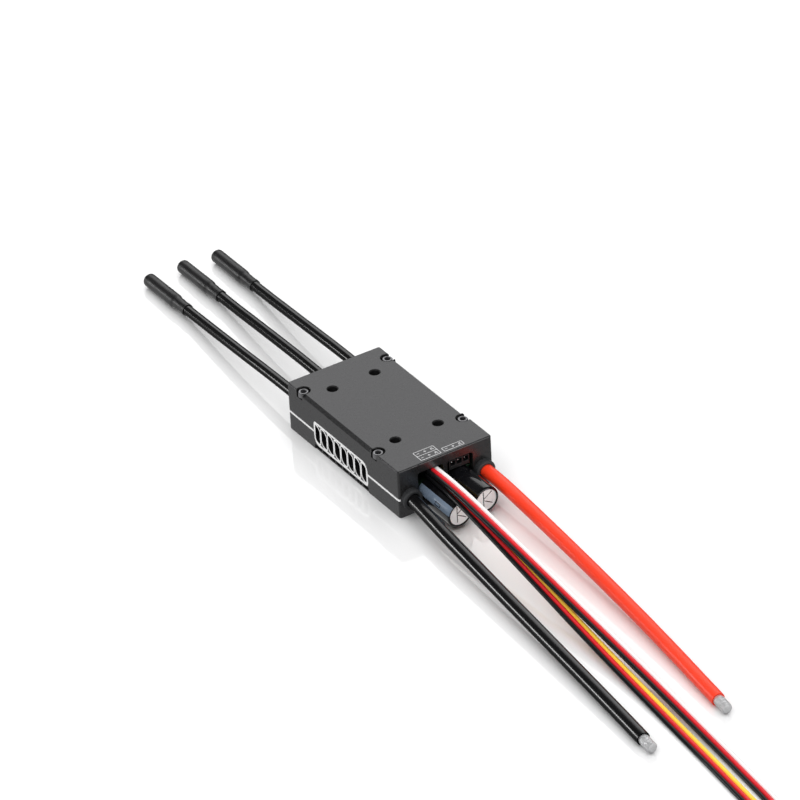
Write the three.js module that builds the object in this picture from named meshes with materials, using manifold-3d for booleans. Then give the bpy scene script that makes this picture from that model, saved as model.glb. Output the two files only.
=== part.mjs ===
// Brushless electronic speed controller: a two-piece finned case with its boards, capacitors,
// headers, power and motor wires, and two plug-in three-core leads.
// Millimetres, +Z up. Origin: on the resting plane, under the middle of the case with its
// capacitors and cable grommets. The motor side is +Y and the battery side is -Y.

import * as THREE from 'three';
import { mergeVertices } from 'three/addons/utils/BufferGeometryUtils.js';
import Module from 'manifold-3d';

const wasm = await Module();
wasm.setup();

// ---------------------------------------------------------------- driving dimensions

const GAP = 0.3; // clearance between pieces that would touch
const CASE_WIDTH = 37;
const CASE_LENGTH = 68.7;
const CASE_HEIGHT = 18.3;
const CASE_CORNER = 0.8;
const SIDE_WALL = 1.8;
const END_WALL = 1.8;
const ROOF = 1.6;
const FLOOR = 2.9; // over the cooling channels
const CAP_FLOOR = 0.9; // under the capacitors
const CAP_BED_LENGTH = 8; // of that thinner floor, from the front face
const PARTING = 7; // height of the joint between the two shells
const EDGE_CHAMFER = 1.1;

const REAR_GROMMET_OUT = 1;
const LEFT_CAP_OUT = 17.3;
const RIGHT_CAP_OUT = 15.5;

const HALF_WIDTH = CASE_WIDTH / 2;
const CASE_Y = (LEFT_CAP_OUT - REAR_GROMMET_OUT) / 2; // centres the box of the whole body
const FRONT = CASE_Y - CASE_LENGTH / 2;
const BACK = CASE_Y + CASE_LENGTH / 2;

const SCREW_X = 16.8;
const SCREW_YS = [CASE_Y + 26.65, CASE_Y - 19.65];
const SCREW_BOSS_R = 3.2;
const SCREW_POCKET_R = 2.4;
const SCREW_POCKET_Z = 15.7;
const SCREW_HOLE_R = 1.3;
const SCREW_HEAD_R = 1.8;
const SCREW_HEAD_H = 1.9;
const SCREW_SHANK_R = 1;
const SCREW_TIP_Z = 3;
const SCREW_HEX_R = 0.87;

const MOUNT_HOLE_X = 8.43;
const MOUNT_HOLE_YS = [CASE_Y + 21.55, CASE_Y - 17.35];
const MOUNT_HOLE_R = 1.7;
const MOUNT_HOLE_DEPTH = 2.3;
const MOUNT_BOSS_R = 2.8;
const MOUNT_BOSS_Z = 15.5;

const VENT_COUNT = 8;
const VENT_PITCH = 4.17;
const VENT_Y = CASE_Y + 1.65;
const VENT_WIDTH = 3.1;
const VENT_LOW = 3.55;
const VENT_HIGH = 9.95;
const VENT_BIG_R = 2.3;
const VENT_SMALL_R = 0.3;
const CHANNEL_WIDTH = 3.5; // cooling channels run across the base, under the vents
const CHANNEL_LOW = 0.4;
const CHANNEL_HIGH = 1.9;
const FIN_SETBACK = 0.35; // the fins between them end this far inside the case's side

const WINDOW_INNER_X = 0.85; // the two front openings, either side of the middle post
const WINDOW_OUTER_X = 10.75;
const WINDOW_TOP = 14.8;
const WINDOW_CORNER = 1;

const POWER_X = 14.4;
const POWER_Z = 7;
const POWER_R = 2.4;
const POWER_HOLE_R = 3.3;
const POWER_FLANGE_R = 3.7;
const POWER_FLANGE_OUT = 2.5;
const POWER_BAY_R = 2.75; // room for the wire beside the side wall
const POWER_START_Y = -16;

const MOTOR_XS = [-13.2, 0, 13.2];
const MOTOR_Z = 9.2;
const MOTOR_R = 1.9;
const MOTOR_HOLE_R = 2.7;
const MOTOR_FLANGE_R = 2.9;

const CAP_X = 5.8;
const CAP_Z = 5.95;
const CAP_SLEEVE_R = 4.8;
const CAP_CAN_R = 4.45;
const CAP_START_Y = FRONT + 1.3; // inner end
const CAP_LIP = 0.35; // the sleeve's curl over the can's front rim
const CAP_LIP_WIDTH = 0.5;
const CAP_SKIN_GAP = 0.12; // between can and sleeve

const PIN_PITCH = 2.54;
const PIN_SIDE = 0.64;
const SIGNAL_X = -4.9;
const SIGNAL_ROW_ZS = [13.62, 13.62 - PIN_PITCH];
const HEADER_WIDTH = 7.4;
const HEADER_FRONT = 1.2;
const HEADER_DEPTH = 2.5;
const PIN_REACH = 5.6; // pin length in front of the header
const PIN_TAIL = 1; // and behind it
const PIN_POINT = 0.6;
const PLUG_LENGTH = 14;
const PLUG_THICKNESS = 2.2;
const PLUG_BORE = 1.3;
const PLUG_BORE_DEPTH = 6.4;
const LATCH_FROM = 2.2; // the crimp windows, from the housing's wire end
const LATCH_TO = 5.2;
const LATCH_DEPTH = 0.4;
const PROGRAM_X = 5.6;
const PROGRAM_PIN_Z = 13.25;
const PROGRAM_WIDTH = 8;
const PROGRAM_LOW = 11;
const PROGRAM_HIGH = 14.5;
const PROGRAM_DEPTH = 9;
const PROGRAM_BORE = 1.9;
const PROGRAM_BORE_DEPTH = 6.5;
const PROGRAM_FOOT = 5; // length of the part that stands on the control board
const PROGRAM_SETBACK = 0.2; // mouth behind the case's front face
const PROGRAM_PIN_LENGTH = 5.4;

const PAD_HALF_WIDTH = 12;
const PAD_Y = [-6, 32]; // front and back edges of the thermal pad
const PAD_T = 0.8;
const POWER_BOARD_HALF_WIDTH = 12.5;
const POWER_BOARD_Y = [-13.5, 37];
const POWER_BOARD_Z = 5.6;
const POWER_BOARD_T = 1.6;
const CONTROL_BOARD_HALF_WIDTH = 11.6;
const CONTROL_BOARD_Y = [-24.2, 33];
const CONTROL_BOARD_Z = 8.2;
const CONTROL_BOARD_T = 1;
const MOSFET_X = 6.3;
const MOSFET_YS = [0, 13, 26];
const MOSFET_SIZE = [9.9, 8, 1]; // width, length, height
const CONTROLLER_AT = [5, 8];
const CONTROLLER_SIZE = [7, 7, 0.9];
const INDUCTOR_AT = [-4, 20];
const INDUCTOR_SIZE = [10, 10, 4.5];
const CHIP_CORNER = 0.3;

const RIBBON_WIDTH = 4.6;
const RIBBON_THICKNESS = 1.5;

// ---------------------------------------------------------------- materials

function finish(color, roughness, metalness) {
  return new THREE.MeshStandardMaterial({ color, roughness, metalness });
}

const anodised = finish(0x2b2b2d, 0.45, 0.6);
const screwSteel = finish(0x1c1c1e, 0.35, 0.9);
const blackPlastic = finish(0x111112, 0.5, 0);
const grommetRubber = finish(0x202124, 0.7, 0);
const blackSilicone = finish(0x19191b, 0.55, 0);
const redSilicone = finish(0xe8321c, 0.5, 0);
const tinned = finish(0xb9bcc0, 0.35, 0.9);
const heatShrink = finish(0x1f2022, 0.6, 0);
const brass = finish(0xc9a24a, 0.3, 1);
const capSleeve = finish(0x15161a, 0.4, 0);
const canAluminium = finish(0xd9dbde, 0.3, 0.9);
const board = finish(0x14301f, 0.6, 0);
const epoxy = finish(0x1a1a1a, 0.6, 0);
const pad = finish(0x8c9aa6, 0.9, 0);
const leadJacket = finish(0xc21d26, 0.5, 0);

// ---------------------------------------------------------------- geometry helpers

// A closed three.js geometry as a solid that can be joined and cut.
function solid(geometry) {
  const bare = geometry.index ? geometry.clone() : geometry;
  bare.deleteAttribute('normal');
  bare.deleteAttribute('uv');
  const merged = mergeVertices(bare, 1e-4);
  return new wasm.Manifold(new wasm.Mesh({
    numProp: 3,
    vertProperties: Float32Array.from(merged.attributes.position.array),
    triVerts: Uint32Array.from(merged.index.array),
  }));
}

function geometryOf(body) {
  const mesh = body.getMesh();
  const geometry = new THREE.BufferGeometry();
  geometry.setAttribute('position', new THREE.BufferAttribute(mesh.vertProperties, 3));
  geometry.setIndex(new THREE.BufferAttribute(mesh.triVerts, 1));
  geometry.computeVertexNormals();
  return geometry;
}

function box(x0, x1, y0, y1, z0, z1) {
  const geometry = new THREE.BoxGeometry(x1 - x0, y1 - y0, z1 - z0);
  return geometry.translate((x0 + x1) / 2, (y0 + y1) / 2, (z0 + z1) / 2);
}

// A flat layer centred across the case, from its front edge to its back edge.
function layer(halfWidth, [front, back], z, thickness) {
  return box(-halfWidth, halfWidth, front, back, z, z + thickness);
}

function uprightCylinder(radius, x, y, z0, z1, sides = 20) {
  const geometry = new THREE.CylinderGeometry(radius, radius, z1 - z0, sides);
  return geometry.rotateX(Math.PI / 2).translate(x, y, (z0 + z1) / 2);
}

function lengthwiseCylinder(radius, x, z, y0, y1, sides = 24) {
  const geometry = new THREE.CylinderGeometry(radius, radius, y1 - y0, sides);
  return geometry.translate(x, (y0 + y1) / 2, z);
}

// A turned piece about its own Y axis, from a closed profile of [radius, along] points.
function turned(profile, sides = 24) {
  let area = 0;
  profile.forEach(([r, a], i) => {
    const [nextR, nextA] = profile[(i + 1) % profile.length];
    area += r * nextA - nextR * a;
  });
  const ordered = area > 0 ? profile : [...profile].reverse();
  const points = [...ordered, ordered[0]].map(([r, a]) => new THREE.Vector2(r, a));
  return new THREE.LatheGeometry(points, sides);
}

function roundedRectangle(x0, x1, y0, y1, r) {
  const shape = new THREE.Shape();
  shape.moveTo(x0 + r, y0);
  shape.lineTo(x1 - r, y0);
  shape.absarc(x1 - r, y0 + r, r, -Math.PI / 2, 0, false);
  shape.lineTo(x1, y1 - r);
  shape.absarc(x1 - r, y1 - r, r, 0, Math.PI / 2, false);
  shape.lineTo(x0 + r, y1);
  shape.absarc(x0 + r, y1 - r, r, Math.PI / 2, Math.PI, false);
  shape.lineTo(x0, y0 + r);
  shape.absarc(x0 + r, y0 + r, r, Math.PI, 1.5 * Math.PI, false);
  return shape;
}

function extruded(shape, depth, curveSegments = 4) {
  return new THREE.ExtrudeGeometry(shape, { depth, bevelEnabled: false, curveSegments });
}

// Turns an outline drawn as [y, z] upright and extrudes it along +X from x = 0.
function extrudedAcross(shape, width, curveSegments = 4) {
  const upright = new THREE.Matrix4().makeBasis(
    new THREE.Vector3(0, 1, 0),
    new THREE.Vector3(0, 0, 1),
    new THREE.Vector3(1, 0, 0),
  );
  return extruded(shape, width, curveSegments).applyMatrix4(upright);
}

// A plain tube along a smooth curve through the points.
function tube(points, radius, sides, steps) {
  const curve = new THREE.CatmullRomCurve3(points.map((p) => new THREE.Vector3(...p)));
  const section = new THREE.Shape();
  section.absarc(0, 0, radius, 0, 2 * Math.PI, false);
  return new THREE.ExtrudeGeometry(section, {
    steps,
    extrudePath: curve,
    curveSegments: sides / 2,
  });
}

// A flat three-core lead: the section's x is its thickness and y its width. It lies flat because
// each route starts level, so the first frame's normal is upright.
function ribbon(points, steps) {
  const curve = new THREE.CatmullRomCurve3(points.map((p) => new THREE.Vector3(...p)));
  const t = RIBBON_THICKNESS / 2;
  const w = RIBBON_WIDTH / 2;
  const c = t / 2;
  const section = new THREE.Shape([
    [t, c - w], [t, w - c], [c, w], [-c, w], [-t, w - c], [-t, c - w], [-c, -w], [c, -w],
  ].map(([x, y]) => new THREE.Vector2(x, y)));
  return new THREE.ExtrudeGeometry(section, { steps, extrudePath: curve });
}

const object = new THREE.Group();

function add(name, geometry, material, parent = object) {
  const mesh = new THREE.Mesh(geometry, material);
  mesh.name = name;
  parent.add(mesh);
  return mesh;
}

const bothSides = [-1, 1];

// ---------------------------------------------------------------- case shells

function caseBlock(z0, z1) {
  const outline = roundedRectangle(-HALF_WIDTH, HALF_WIDTH, FRONT, BACK, CASE_CORNER);
  return solid(extruded(outline, z1 - z0).translate(0, 0, z0));
}

function screwPlaces() {
  return bothSides.flatMap((side) => SCREW_YS.map((y) => [side * SCREW_X, y]));
}

// One leaf-shaped slot: large radii at its upper front and lower back corners.
function ventSlot(centreY) {
  const front = centreY - VENT_WIDTH / 2;
  const back = centreY + VENT_WIDTH / 2;
  const r = VENT_BIG_R;
  const s = VENT_SMALL_R;
  const shape = new THREE.Shape();
  shape.moveTo(front + s, VENT_LOW);
  shape.lineTo(back - r, VENT_LOW);
  shape.absarc(back - r, VENT_LOW + r, r, -Math.PI / 2, 0, false);
  shape.lineTo(back, VENT_HIGH - s);
  shape.absarc(back - s, VENT_HIGH - s, s, 0, Math.PI / 2, false);
  shape.lineTo(front + r, VENT_HIGH);
  shape.absarc(front + r, VENT_HIGH - r, r, Math.PI / 2, Math.PI, false);
  shape.lineTo(front, VENT_LOW + s);
  shape.absarc(front + s, VENT_LOW + s, s, Math.PI, 1.5 * Math.PI, false);
  return shape;
}

function ventY(index) {
  return VENT_Y + (index - (VENT_COUNT - 1) / 2) * VENT_PITCH;
}

// Everything that is cut through the walls of both shells.
function wallCuts() {
  const cuts = [];
  for (let i = 0; i < VENT_COUNT; i += 1) {
    const slot = extrudedAcross(ventSlot(ventY(i)), CASE_WIDTH + 2);
    cuts.push(slot.translate(-HALF_WIDTH - 1, 0, 0));
  }
  for (const side of bothSides) {
    const x = side * POWER_X;
    cuts.push(lengthwiseCylinder(POWER_HOLE_R, x, POWER_Z, FRONT - 1, FRONT + END_WALL + 0.01));
    cuts.push(lengthwiseCylinder(POWER_BAY_R, x, POWER_Z, FRONT, POWER_START_Y + GAP));
    const inner = side < 0 ? -WINDOW_OUTER_X : WINDOW_INNER_X;
    const outer = side < 0 ? -WINDOW_INNER_X : WINDOW_OUTER_X;
    const outline = roundedRectangle(inner, outer, CAP_FLOOR, WINDOW_TOP, WINDOW_CORNER);
    const depth = END_WALL + 1;
    cuts.push(extruded(outline, depth, 3).rotateX(Math.PI / 2).translate(0, FRONT - 0.9 + depth, 0));
  }
  for (const x of MOTOR_XS) {
    cuts.push(lengthwiseCylinder(MOTOR_HOLE_R, x, MOTOR_Z, BACK - END_WALL - 0.01, BACK + 1));
  }
  return cuts.map(solid);
}

function cutFrom(body, cuts) {
  return cuts.reduce((rest, cut) => rest.subtract(cut), body);
}

function cavity(z0, z1) {
  const x = HALF_WIDTH - SIDE_WALL;
  return solid(box(-x, x, FRONT + END_WALL, BACK - END_WALL, z0, z1));
}

function topShell() {
  const low = PARTING + GAP / 2;
  const block = caseBlock(low, CASE_HEIGHT);
  const roofUnder = CASE_HEIGHT - ROOF;
  let shell = block.subtract(cavity(low - 1, roofUnder));
  for (const [x, y] of screwPlaces()) {
    const boss = solid(uprightCylinder(SCREW_BOSS_R, x, y, low, roofUnder + 0.5));
    shell = shell.add(boss.intersect(block));
  }
  for (const side of bothSides) {
    for (const y of MOUNT_HOLE_YS) {
      const x = side * MOUNT_HOLE_X;
      const holeFloor = CASE_HEIGHT - MOUNT_HOLE_DEPTH;
      shell = shell.add(solid(uprightCylinder(MOUNT_BOSS_R, x, y, MOUNT_BOSS_Z, roofUnder + 0.5)));
      shell = shell.subtract(solid(uprightCylinder(MOUNT_HOLE_R, x, y, holeFloor, CASE_HEIGHT + 1)));
    }
  }
  for (const [x, y] of screwPlaces()) {
    shell = shell.subtract(solid(uprightCylinder(SCREW_HOLE_R, x, y, low - 1, CASE_HEIGHT + 1, 12)));
    shell = shell.subtract(solid(uprightCylinder(SCREW_POCKET_R, x, y, SCREW_POCKET_Z, CASE_HEIGHT + 1)));
  }
  for (const side of bothSides) {
    shell = shell.subtract(edgeChamfer(side));
  }
  return cutFrom(shell, wallCuts());
}

// The long top edges are bevelled between the two screw pockets on each side.
function edgeChamfer(side) {
  const over = 0.2;
  const reach = EDGE_CHAMFER + over;
  const triangle = new THREE.Shape([
    new THREE.Vector2(HALF_WIDTH + over, CASE_HEIGHT + over - reach - over),
    new THREE.Vector2(HALF_WIDTH + over, CASE_HEIGHT + over),
    new THREE.Vector2(HALF_WIDTH - reach, CASE_HEIGHT + over),
  ]);
  const [rearY, frontY] = SCREW_YS;
  const start = frontY + SCREW_POCKET_R;
  const length = rearY - SCREW_POCKET_R - start;
  const prism = extruded(triangle, length).rotateX(Math.PI / 2).translate(0, start + length, 0);
  return solid(side > 0 ? prism : prism.rotateZ(Math.PI).translate(0, 2 * start + length, 0));
}

function bottomShell() {
  const high = PARTING - GAP / 2;
  const block = caseBlock(0, high);
  let shell = block.subtract(cavity(FLOOR, high + 1));
  for (const [x, y] of screwPlaces()) {
    const boss = solid(uprightCylinder(SCREW_BOSS_R, x, y, 0, high));
    const hole = solid(uprightCylinder(SCREW_HOLE_R, x, y, SCREW_TIP_Z - 1, high + 1, 12));
    shell = shell.add(boss.intersect(block)).subtract(hole);
  }
  const capBed = layer(
    WINDOW_OUTER_X, [FRONT + END_WALL - 0.1, FRONT + CAP_BED_LENGTH], CAP_FLOOR, high);
  shell = shell.subtract(solid(capBed));
  for (let i = 0; i < VENT_COUNT; i += 1) {
    const y = ventY(i);
    const half = CHANNEL_WIDTH / 2;
    shell = shell.subtract(solid(
      box(-HALF_WIDTH - 1, HALF_WIDTH + 1, y - half, y + half, CHANNEL_LOW, CHANNEL_HIGH)));
  }
  const bandHalf = VENT_COUNT * VENT_PITCH / 2;
  for (const side of bothSides) {
    const x = side * HALF_WIDTH;
    shell = shell.subtract(solid(
      box(x - FIN_SETBACK, x + FIN_SETBACK, VENT_Y - bandHalf, VENT_Y + bandHalf, -1, CHANNEL_HIGH)));
  }
  return cutFrom(shell, wallCuts());
}

add('top_shell', geometryOf(topShell()), anodised);
add('bottom_shell', geometryOf(bottomShell()), anodised);

// ---------------------------------------------------------------- case screws

function socketScrew() {
  const headTop = SCREW_HEAD_H;
  const tip = SCREW_TIP_Z - (SCREW_POCKET_Z + GAP);
  const points = [[0, tip], [SCREW_SHANK_R, tip], [SCREW_SHANK_R, 0], [SCREW_HEAD_R, 0],
    [SCREW_HEAD_R, headTop - 0.2], [SCREW_HEAD_R - 0.2, headTop], [0, headTop]];
  const blank = new THREE.LatheGeometry(points.map(([r, z]) => new THREE.Vector2(r, z)), 16);
  const socket = new THREE.CylinderGeometry(SCREW_HEX_R, SCREW_HEX_R, 2, 6).translate(0, headTop, 0);
  return geometryOf(solid(blank).subtract(solid(socket)));
}

const screwNames = ['left_rear', 'left_front', 'right_rear', 'right_front'];
screwPlaces().forEach(([x, y], i) => {
  const screw = add(`case_screw_${screwNames[i]}`, socketScrew(), screwSteel);
  screw.rotation.x = Math.PI / 2;
  screw.position.set(x, y, SCREW_POCKET_Z + GAP);
});

// ---------------------------------------------------------------- boards and chips

add('thermal_pad', layer(PAD_HALF_WIDTH, PAD_Y, FLOOR + GAP, PAD_T), pad);
add('power_board',
  layer(POWER_BOARD_HALF_WIDTH, POWER_BOARD_Y, POWER_BOARD_Z, POWER_BOARD_T), board);
add('control_board',
  layer(CONTROL_BOARD_HALF_WIDTH, CONTROL_BOARD_Y, CONTROL_BOARD_Z, CONTROL_BOARD_T), board);

function packageChip([width, length, height]) {
  const outline = roundedRectangle(-width / 2, width / 2, -length / 2, length / 2, CHIP_CORNER);
  return extruded(outline, height, 1);
}

// The power transistors hang under the power board and press on the thermal pad.
MOSFET_YS.forEach((y, row) => {
  for (const side of bothSides) {
    const name = `mosfet_${side < 0 ? 'left' : 'right'}_${row + 1}`;
    const chip = add(name, packageChip(MOSFET_SIZE), epoxy);
    chip.position.set(side * MOSFET_X, y, POWER_BOARD_Z - GAP - MOSFET_SIZE[2]);
  }
});

const controlTop = CONTROL_BOARD_Z + CONTROL_BOARD_T + GAP;
const controller = add('microcontroller', packageChip(CONTROLLER_SIZE), epoxy);
controller.position.set(...CONTROLLER_AT, controlTop);
const inductor = add('bec_inductor', packageChip(INDUCTOR_SIZE), epoxy);
inductor.position.set(...INDUCTOR_AT, controlTop);

// ---------------------------------------------------------------- headers and pins

// A bar of square section along Y, pointed at its front end.
function headerPin(length) {
  const h = PIN_SIDE / 2;
  const straight = length - PIN_POINT;
  const bar = new THREE.CylinderGeometry(h * Math.SQRT2, h * Math.SQRT2, straight, 4);
  bar.rotateY(Math.PI / 4).translate(0, -straight / 2, 0);
  const point = new THREE.CylinderGeometry(h * Math.SQRT2, h * 0.7, PIN_POINT, 4);
  point.rotateY(Math.PI / 4).translate(0, -straight - PIN_POINT / 2, 0);
  return geometryOf(solid(bar).add(solid(point)));
}

function signalHeader() {
  const half = HEADER_WIDTH / 2;
  const low = controlTop;
  const high = SIGNAL_ROW_ZS[0] + PLUG_THICKNESS / 2;
  let base = solid(box(
    SIGNAL_X - half, SIGNAL_X + half, HEADER_FRONT, HEADER_FRONT + HEADER_DEPTH, low, high));
  for (const z of SIGNAL_ROW_ZS) {
    for (const step of [-1, 0, 1]) {
      const x = SIGNAL_X + step * PIN_PITCH;
      const h = PIN_SIDE / 2 + GAP;
      base = base.subtract(solid(
        box(x - h, x + h, HEADER_FRONT - 1, HEADER_FRONT + HEADER_DEPTH + 1, z - h, z + h)));
    }
  }
  return base;
}

add('signal_header', geometryOf(signalHeader()), blackPlastic);
const pinRoles = ['minus', 'plus', 'signal'];
const leadNames = ['throttle', 'rpm']; // upper and lower row
SIGNAL_ROW_ZS.forEach((z, row) => {
  pinRoles.forEach((role, i) => {
    const back = HEADER_FRONT + HEADER_DEPTH + PIN_TAIL;
    const pin = add(`${leadNames[row]}_pin_${role}`, headerPin(back - HEADER_FRONT + PIN_REACH), brass);
    pin.position.set(SIGNAL_X + (i - 1) * PIN_PITCH, back, z);
  });
});

// The programming port: a shrouded three-pin header whose mouth is at the case's front face.
function programmingHeader() {
  const half = PROGRAM_WIDTH / 2;
  const front = FRONT + PROGRAM_SETBACK;
  const back = front + PROGRAM_DEPTH;
  const side = new THREE.Shape([
    [front, PROGRAM_LOW], [back - PROGRAM_FOOT, PROGRAM_LOW], [back - PROGRAM_FOOT, controlTop],
    [back, controlTop], [back, PROGRAM_HIGH], [front, PROGRAM_HIGH],
  ].map(([y, z]) => new THREE.Vector2(y, z)));
  let body = solid(extrudedAcross(side, PROGRAM_WIDTH).translate(PROGRAM_X - half, 0, 0));
  for (const step of [-1, 0, 1]) {
    const x = PROGRAM_X + step * PIN_PITCH;
    const h = PROGRAM_BORE / 2;
    const z = PROGRAM_PIN_Z;
    body = body.subtract(solid(box(x - h, x + h, front - 1, front + PROGRAM_BORE_DEPTH, z - h, z + h)));
  }
  return body;
}

add('programming_header', geometryOf(programmingHeader()), blackPlastic);
pinRoles.forEach((role, i) => {
  const back = FRONT + PROGRAM_SETBACK + PROGRAM_BORE_DEPTH - GAP;
  const pin = add(`programming_pin_${role}`, headerPin(PROGRAM_PIN_LENGTH), brass);
  pin.position.set(PROGRAM_X + (i - 1) * PIN_PITCH, back, PROGRAM_PIN_Z);
});

// ---------------------------------------------------------------- capacitors

// The can stands inside its shrink sleeve; the sleeve curls over the can's front rim.
function capacitor(name, side, out) {
  const end = FRONT - out - CAP_START_Y; // negative: it runs towards the front
  const skin = CAP_CAN_R + CAP_SKIN_GAP;
  const curl = CAP_CAN_R - CAP_LIP_WIDTH;
  const sleeve = turned([
    [skin, 0], [CAP_SLEEVE_R, 0], [CAP_SLEEVE_R, end + 0.6], [CAP_SLEEVE_R - 0.5, end],
    [curl, end], [curl, end + CAP_LIP], [skin, end + CAP_LIP],
  ], 20);
  const canEnd = end + CAP_LIP + 0.1;
  const can = new THREE.LatheGeometry([
    new THREE.Vector2(0, canEnd + 0.25),
    new THREE.Vector2(CAP_CAN_R - 1.1, canEnd + 0.25),
    new THREE.Vector2(CAP_CAN_R - 0.7, canEnd),
    new THREE.Vector2(CAP_CAN_R - 0.2, canEnd),
    new THREE.Vector2(CAP_CAN_R, canEnd + 0.2),
    new THREE.Vector2(CAP_CAN_R, -0.2),
    new THREE.Vector2(0, -0.2),
  ], 20);
  for (const [piece, geometry, material] of [['sleeve', sleeve, capSleeve], ['can', can, canAluminium]]) {
    const mesh = add(`capacitor_${piece}_${name}`, geometry, material);
    mesh.position.set(side * CAP_X, CAP_START_Y, CAP_Z);
  }
}

capacitor('left', -1, LEFT_CAP_OUT);
capacitor('right', 1, RIGHT_CAP_OUT);

// ---------------------------------------------------------------- cable grommets

function powerGrommet() {
  const bore = POWER_R + GAP;
  const body = POWER_HOLE_R - GAP + 0.05;
  return turned([
    [bore, END_WALL - 0.1], [body, END_WALL - 0.1], [body, -GAP], [POWER_FLANGE_R, -GAP],
    [POWER_FLANGE_R, -POWER_FLANGE_OUT + 0.3], [POWER_FLANGE_R - 0.3, -POWER_FLANGE_OUT],
    [bore, -POWER_FLANGE_OUT],
  ], 18);
}

for (const side of bothSides) {
  const grommet = add(`power_grommet_${side < 0 ? 'minus' : 'plus'}`, powerGrommet(), grommetRubber);
  grommet.position.set(side * POWER_X, FRONT, POWER_Z);
}

function motorGrommet() {
  const bore = MOTOR_R + 0.2;
  const body = MOTOR_HOLE_R - 0.25;
  return turned([
    [bore, -END_WALL + 0.1], [body, -END_WALL + 0.1], [body, GAP], [MOTOR_FLANGE_R, GAP],
    [MOTOR_FLANGE_R, REAR_GROMMET_OUT - 0.3], [MOTOR_FLANGE_R - 0.3, REAR_GROMMET_OUT],
    [bore, REAR_GROMMET_OUT],
  ], 16);
}

const phaseNames = ['a', 'b', 'c'];
phaseNames.forEach((phase, i) => {
  const grommet = add(`motor_grommet_${phase}`, motorGrommet(), grommetRubber);
  grommet.position.set(MOTOR_XS[i], BACK, MOTOR_Z);
});

// ---------------------------------------------------------------- power wires

// Points on each wire's centreline, from its end inside the case to the end of its insulation.
const POWER_ROUTES = {
  minus: [
    [-14.4, -16, 7], [-14.4, -24, 7], [-14.75, -30, 7], [-15.7, -40, 6.9], [-16.85, -52, 6.55],
    [-18.2, -70, 5.95], [-19.6, -90, 5.2], [-21, -110, 4.55], [-22.4, -130, 3.9],
    [-23.8, -150, 3.25], [-24.9, -165, 2.75], [-25.9, -177, 2.45],
  ],
  plus: [
    [14.4, -16, 7], [14.4, -24, 7], [14.55, -30, 7], [14.4, -40, 6.9], [13.9, -52, 6.55],
    [13, -70, 5.95], [11.9, -90, 5.2], [10.55, -110, 4.55], [9, -130, 3.9], [7.2, -150, 3.25],
    [5.7, -165, 2.75], [4.85, -174, 2.45],
  ],
};
const TINNED_LENGTH = 5.8;
const TINNED_R = 1.85;

function endDirection(points) {
  const [before, last] = points.slice(-2).map((p) => new THREE.Vector3(...p));
  return last.sub(before).normalize();
}

// A straight piece made along its own +Y, set at the end of a route and in line with it.
function inLine(mesh, points, gap) {
  const along = endDirection(points);
  mesh.quaternion.setFromUnitVectors(new THREE.Vector3(0, 1, 0), along);
  mesh.position.set(...points.at(-1)).addScaledVector(along, gap);
}

for (const [pole, route] of Object.entries(POWER_ROUTES)) {
  const silicone = pole === 'minus' ? blackSilicone : redSilicone;
  add(`power_wire_${pole}`, tube(route, POWER_R, 10, 16), silicone);
  const stub = new THREE.LatheGeometry([
    new THREE.Vector2(0, 0),
    new THREE.Vector2(TINNED_R, 0),
    new THREE.Vector2(TINNED_R, TINNED_LENGTH - 0.8),
    new THREE.Vector2(TINNED_R - 0.6, TINNED_LENGTH),
    new THREE.Vector2(0, TINNED_LENGTH),
  ], 12);
  inLine(add(`tinned_end_${pole}`, stub, tinned), route, 0.1);
}

// ---------------------------------------------------------------- motor wires

// Each wire runs from inside the back wall into the neck of its heat-shrink sleeve.
const MOTOR_ROUTES = {
  a: [
    [-13.2, 38.3, 9.2], [-13.2, 44, 9.2], [-13.05, 52, 8.95], [-12.75, 65, 8.3], [-12.4, 78, 7.4],
    [-11.95, 90, 6.45], [-11.4, 101, 5.45], [-10.8, 112, 4.4], [-10.35, 122.1, 3.6],
    [-10.25, 129, 3.36],
  ],
  b: [
    [0, 38.3, 9.2], [0, 44, 9.2], [0.35, 52, 8.95], [0.9, 65, 8.3], [1.45, 78, 7.4],
    [2, 90, 6.45], [2.55, 101, 5.45], [3.15, 112, 4.4], [3.7, 122.7, 3.6], [3.82, 129.6, 3.36],
  ],
  c: [
    [13.2, 38.3, 9.2], [13.25, 44, 9.2], [13.6, 52, 8.95], [14.05, 65, 8.3], [14.5, 78, 7.4],
    [15, 90, 6.45], [15.6, 101, 5.45], [16.25, 112, 4.4], [16.8, 121.4, 3.6], [16.98, 128.3, 3.36],
  ],
};
const SLEEVE_LENGTH = 27;
const NECK_LENGTH = 7.6;
const SLEEVE_R = 2.5;
const NECK_R = 2.2;
const NECK_BORE = MOTOR_R + 0.12;
const SOCKET_R = 2.05;
const SOCKET_BORE = 1.7;

// A shrink sleeve with a narrow neck on the wire and a wide part on the connector.
function heatShrinkSleeve() {
  const wide = NECK_LENGTH + 1.2;
  const end = SLEEVE_LENGTH;
  return turned([
    [NECK_BORE, 0], [NECK_R, 0], [NECK_R, NECK_LENGTH], [SLEEVE_R, wide],
    [SLEEVE_R, end - 0.4], [SLEEVE_R - 0.2, end], [SOCKET_R + 0.12, end],
    [SOCKET_R + 0.12, wide], [NECK_BORE, NECK_LENGTH],
  ], 16);
}

// A female bullet connector, open at its far end.
function bulletSocket() {
  const start = NECK_LENGTH + 1.4;
  const end = SLEEVE_LENGTH - 0.5;
  return new THREE.LatheGeometry([
    new THREE.Vector2(0, start),
    new THREE.Vector2(SOCKET_R, start),
    new THREE.Vector2(SOCKET_R, end),
    new THREE.Vector2(SOCKET_BORE, end),
    new THREE.Vector2(SOCKET_BORE, start + 5),
    new THREE.Vector2(0, start + 5),
  ], 20);
}

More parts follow.
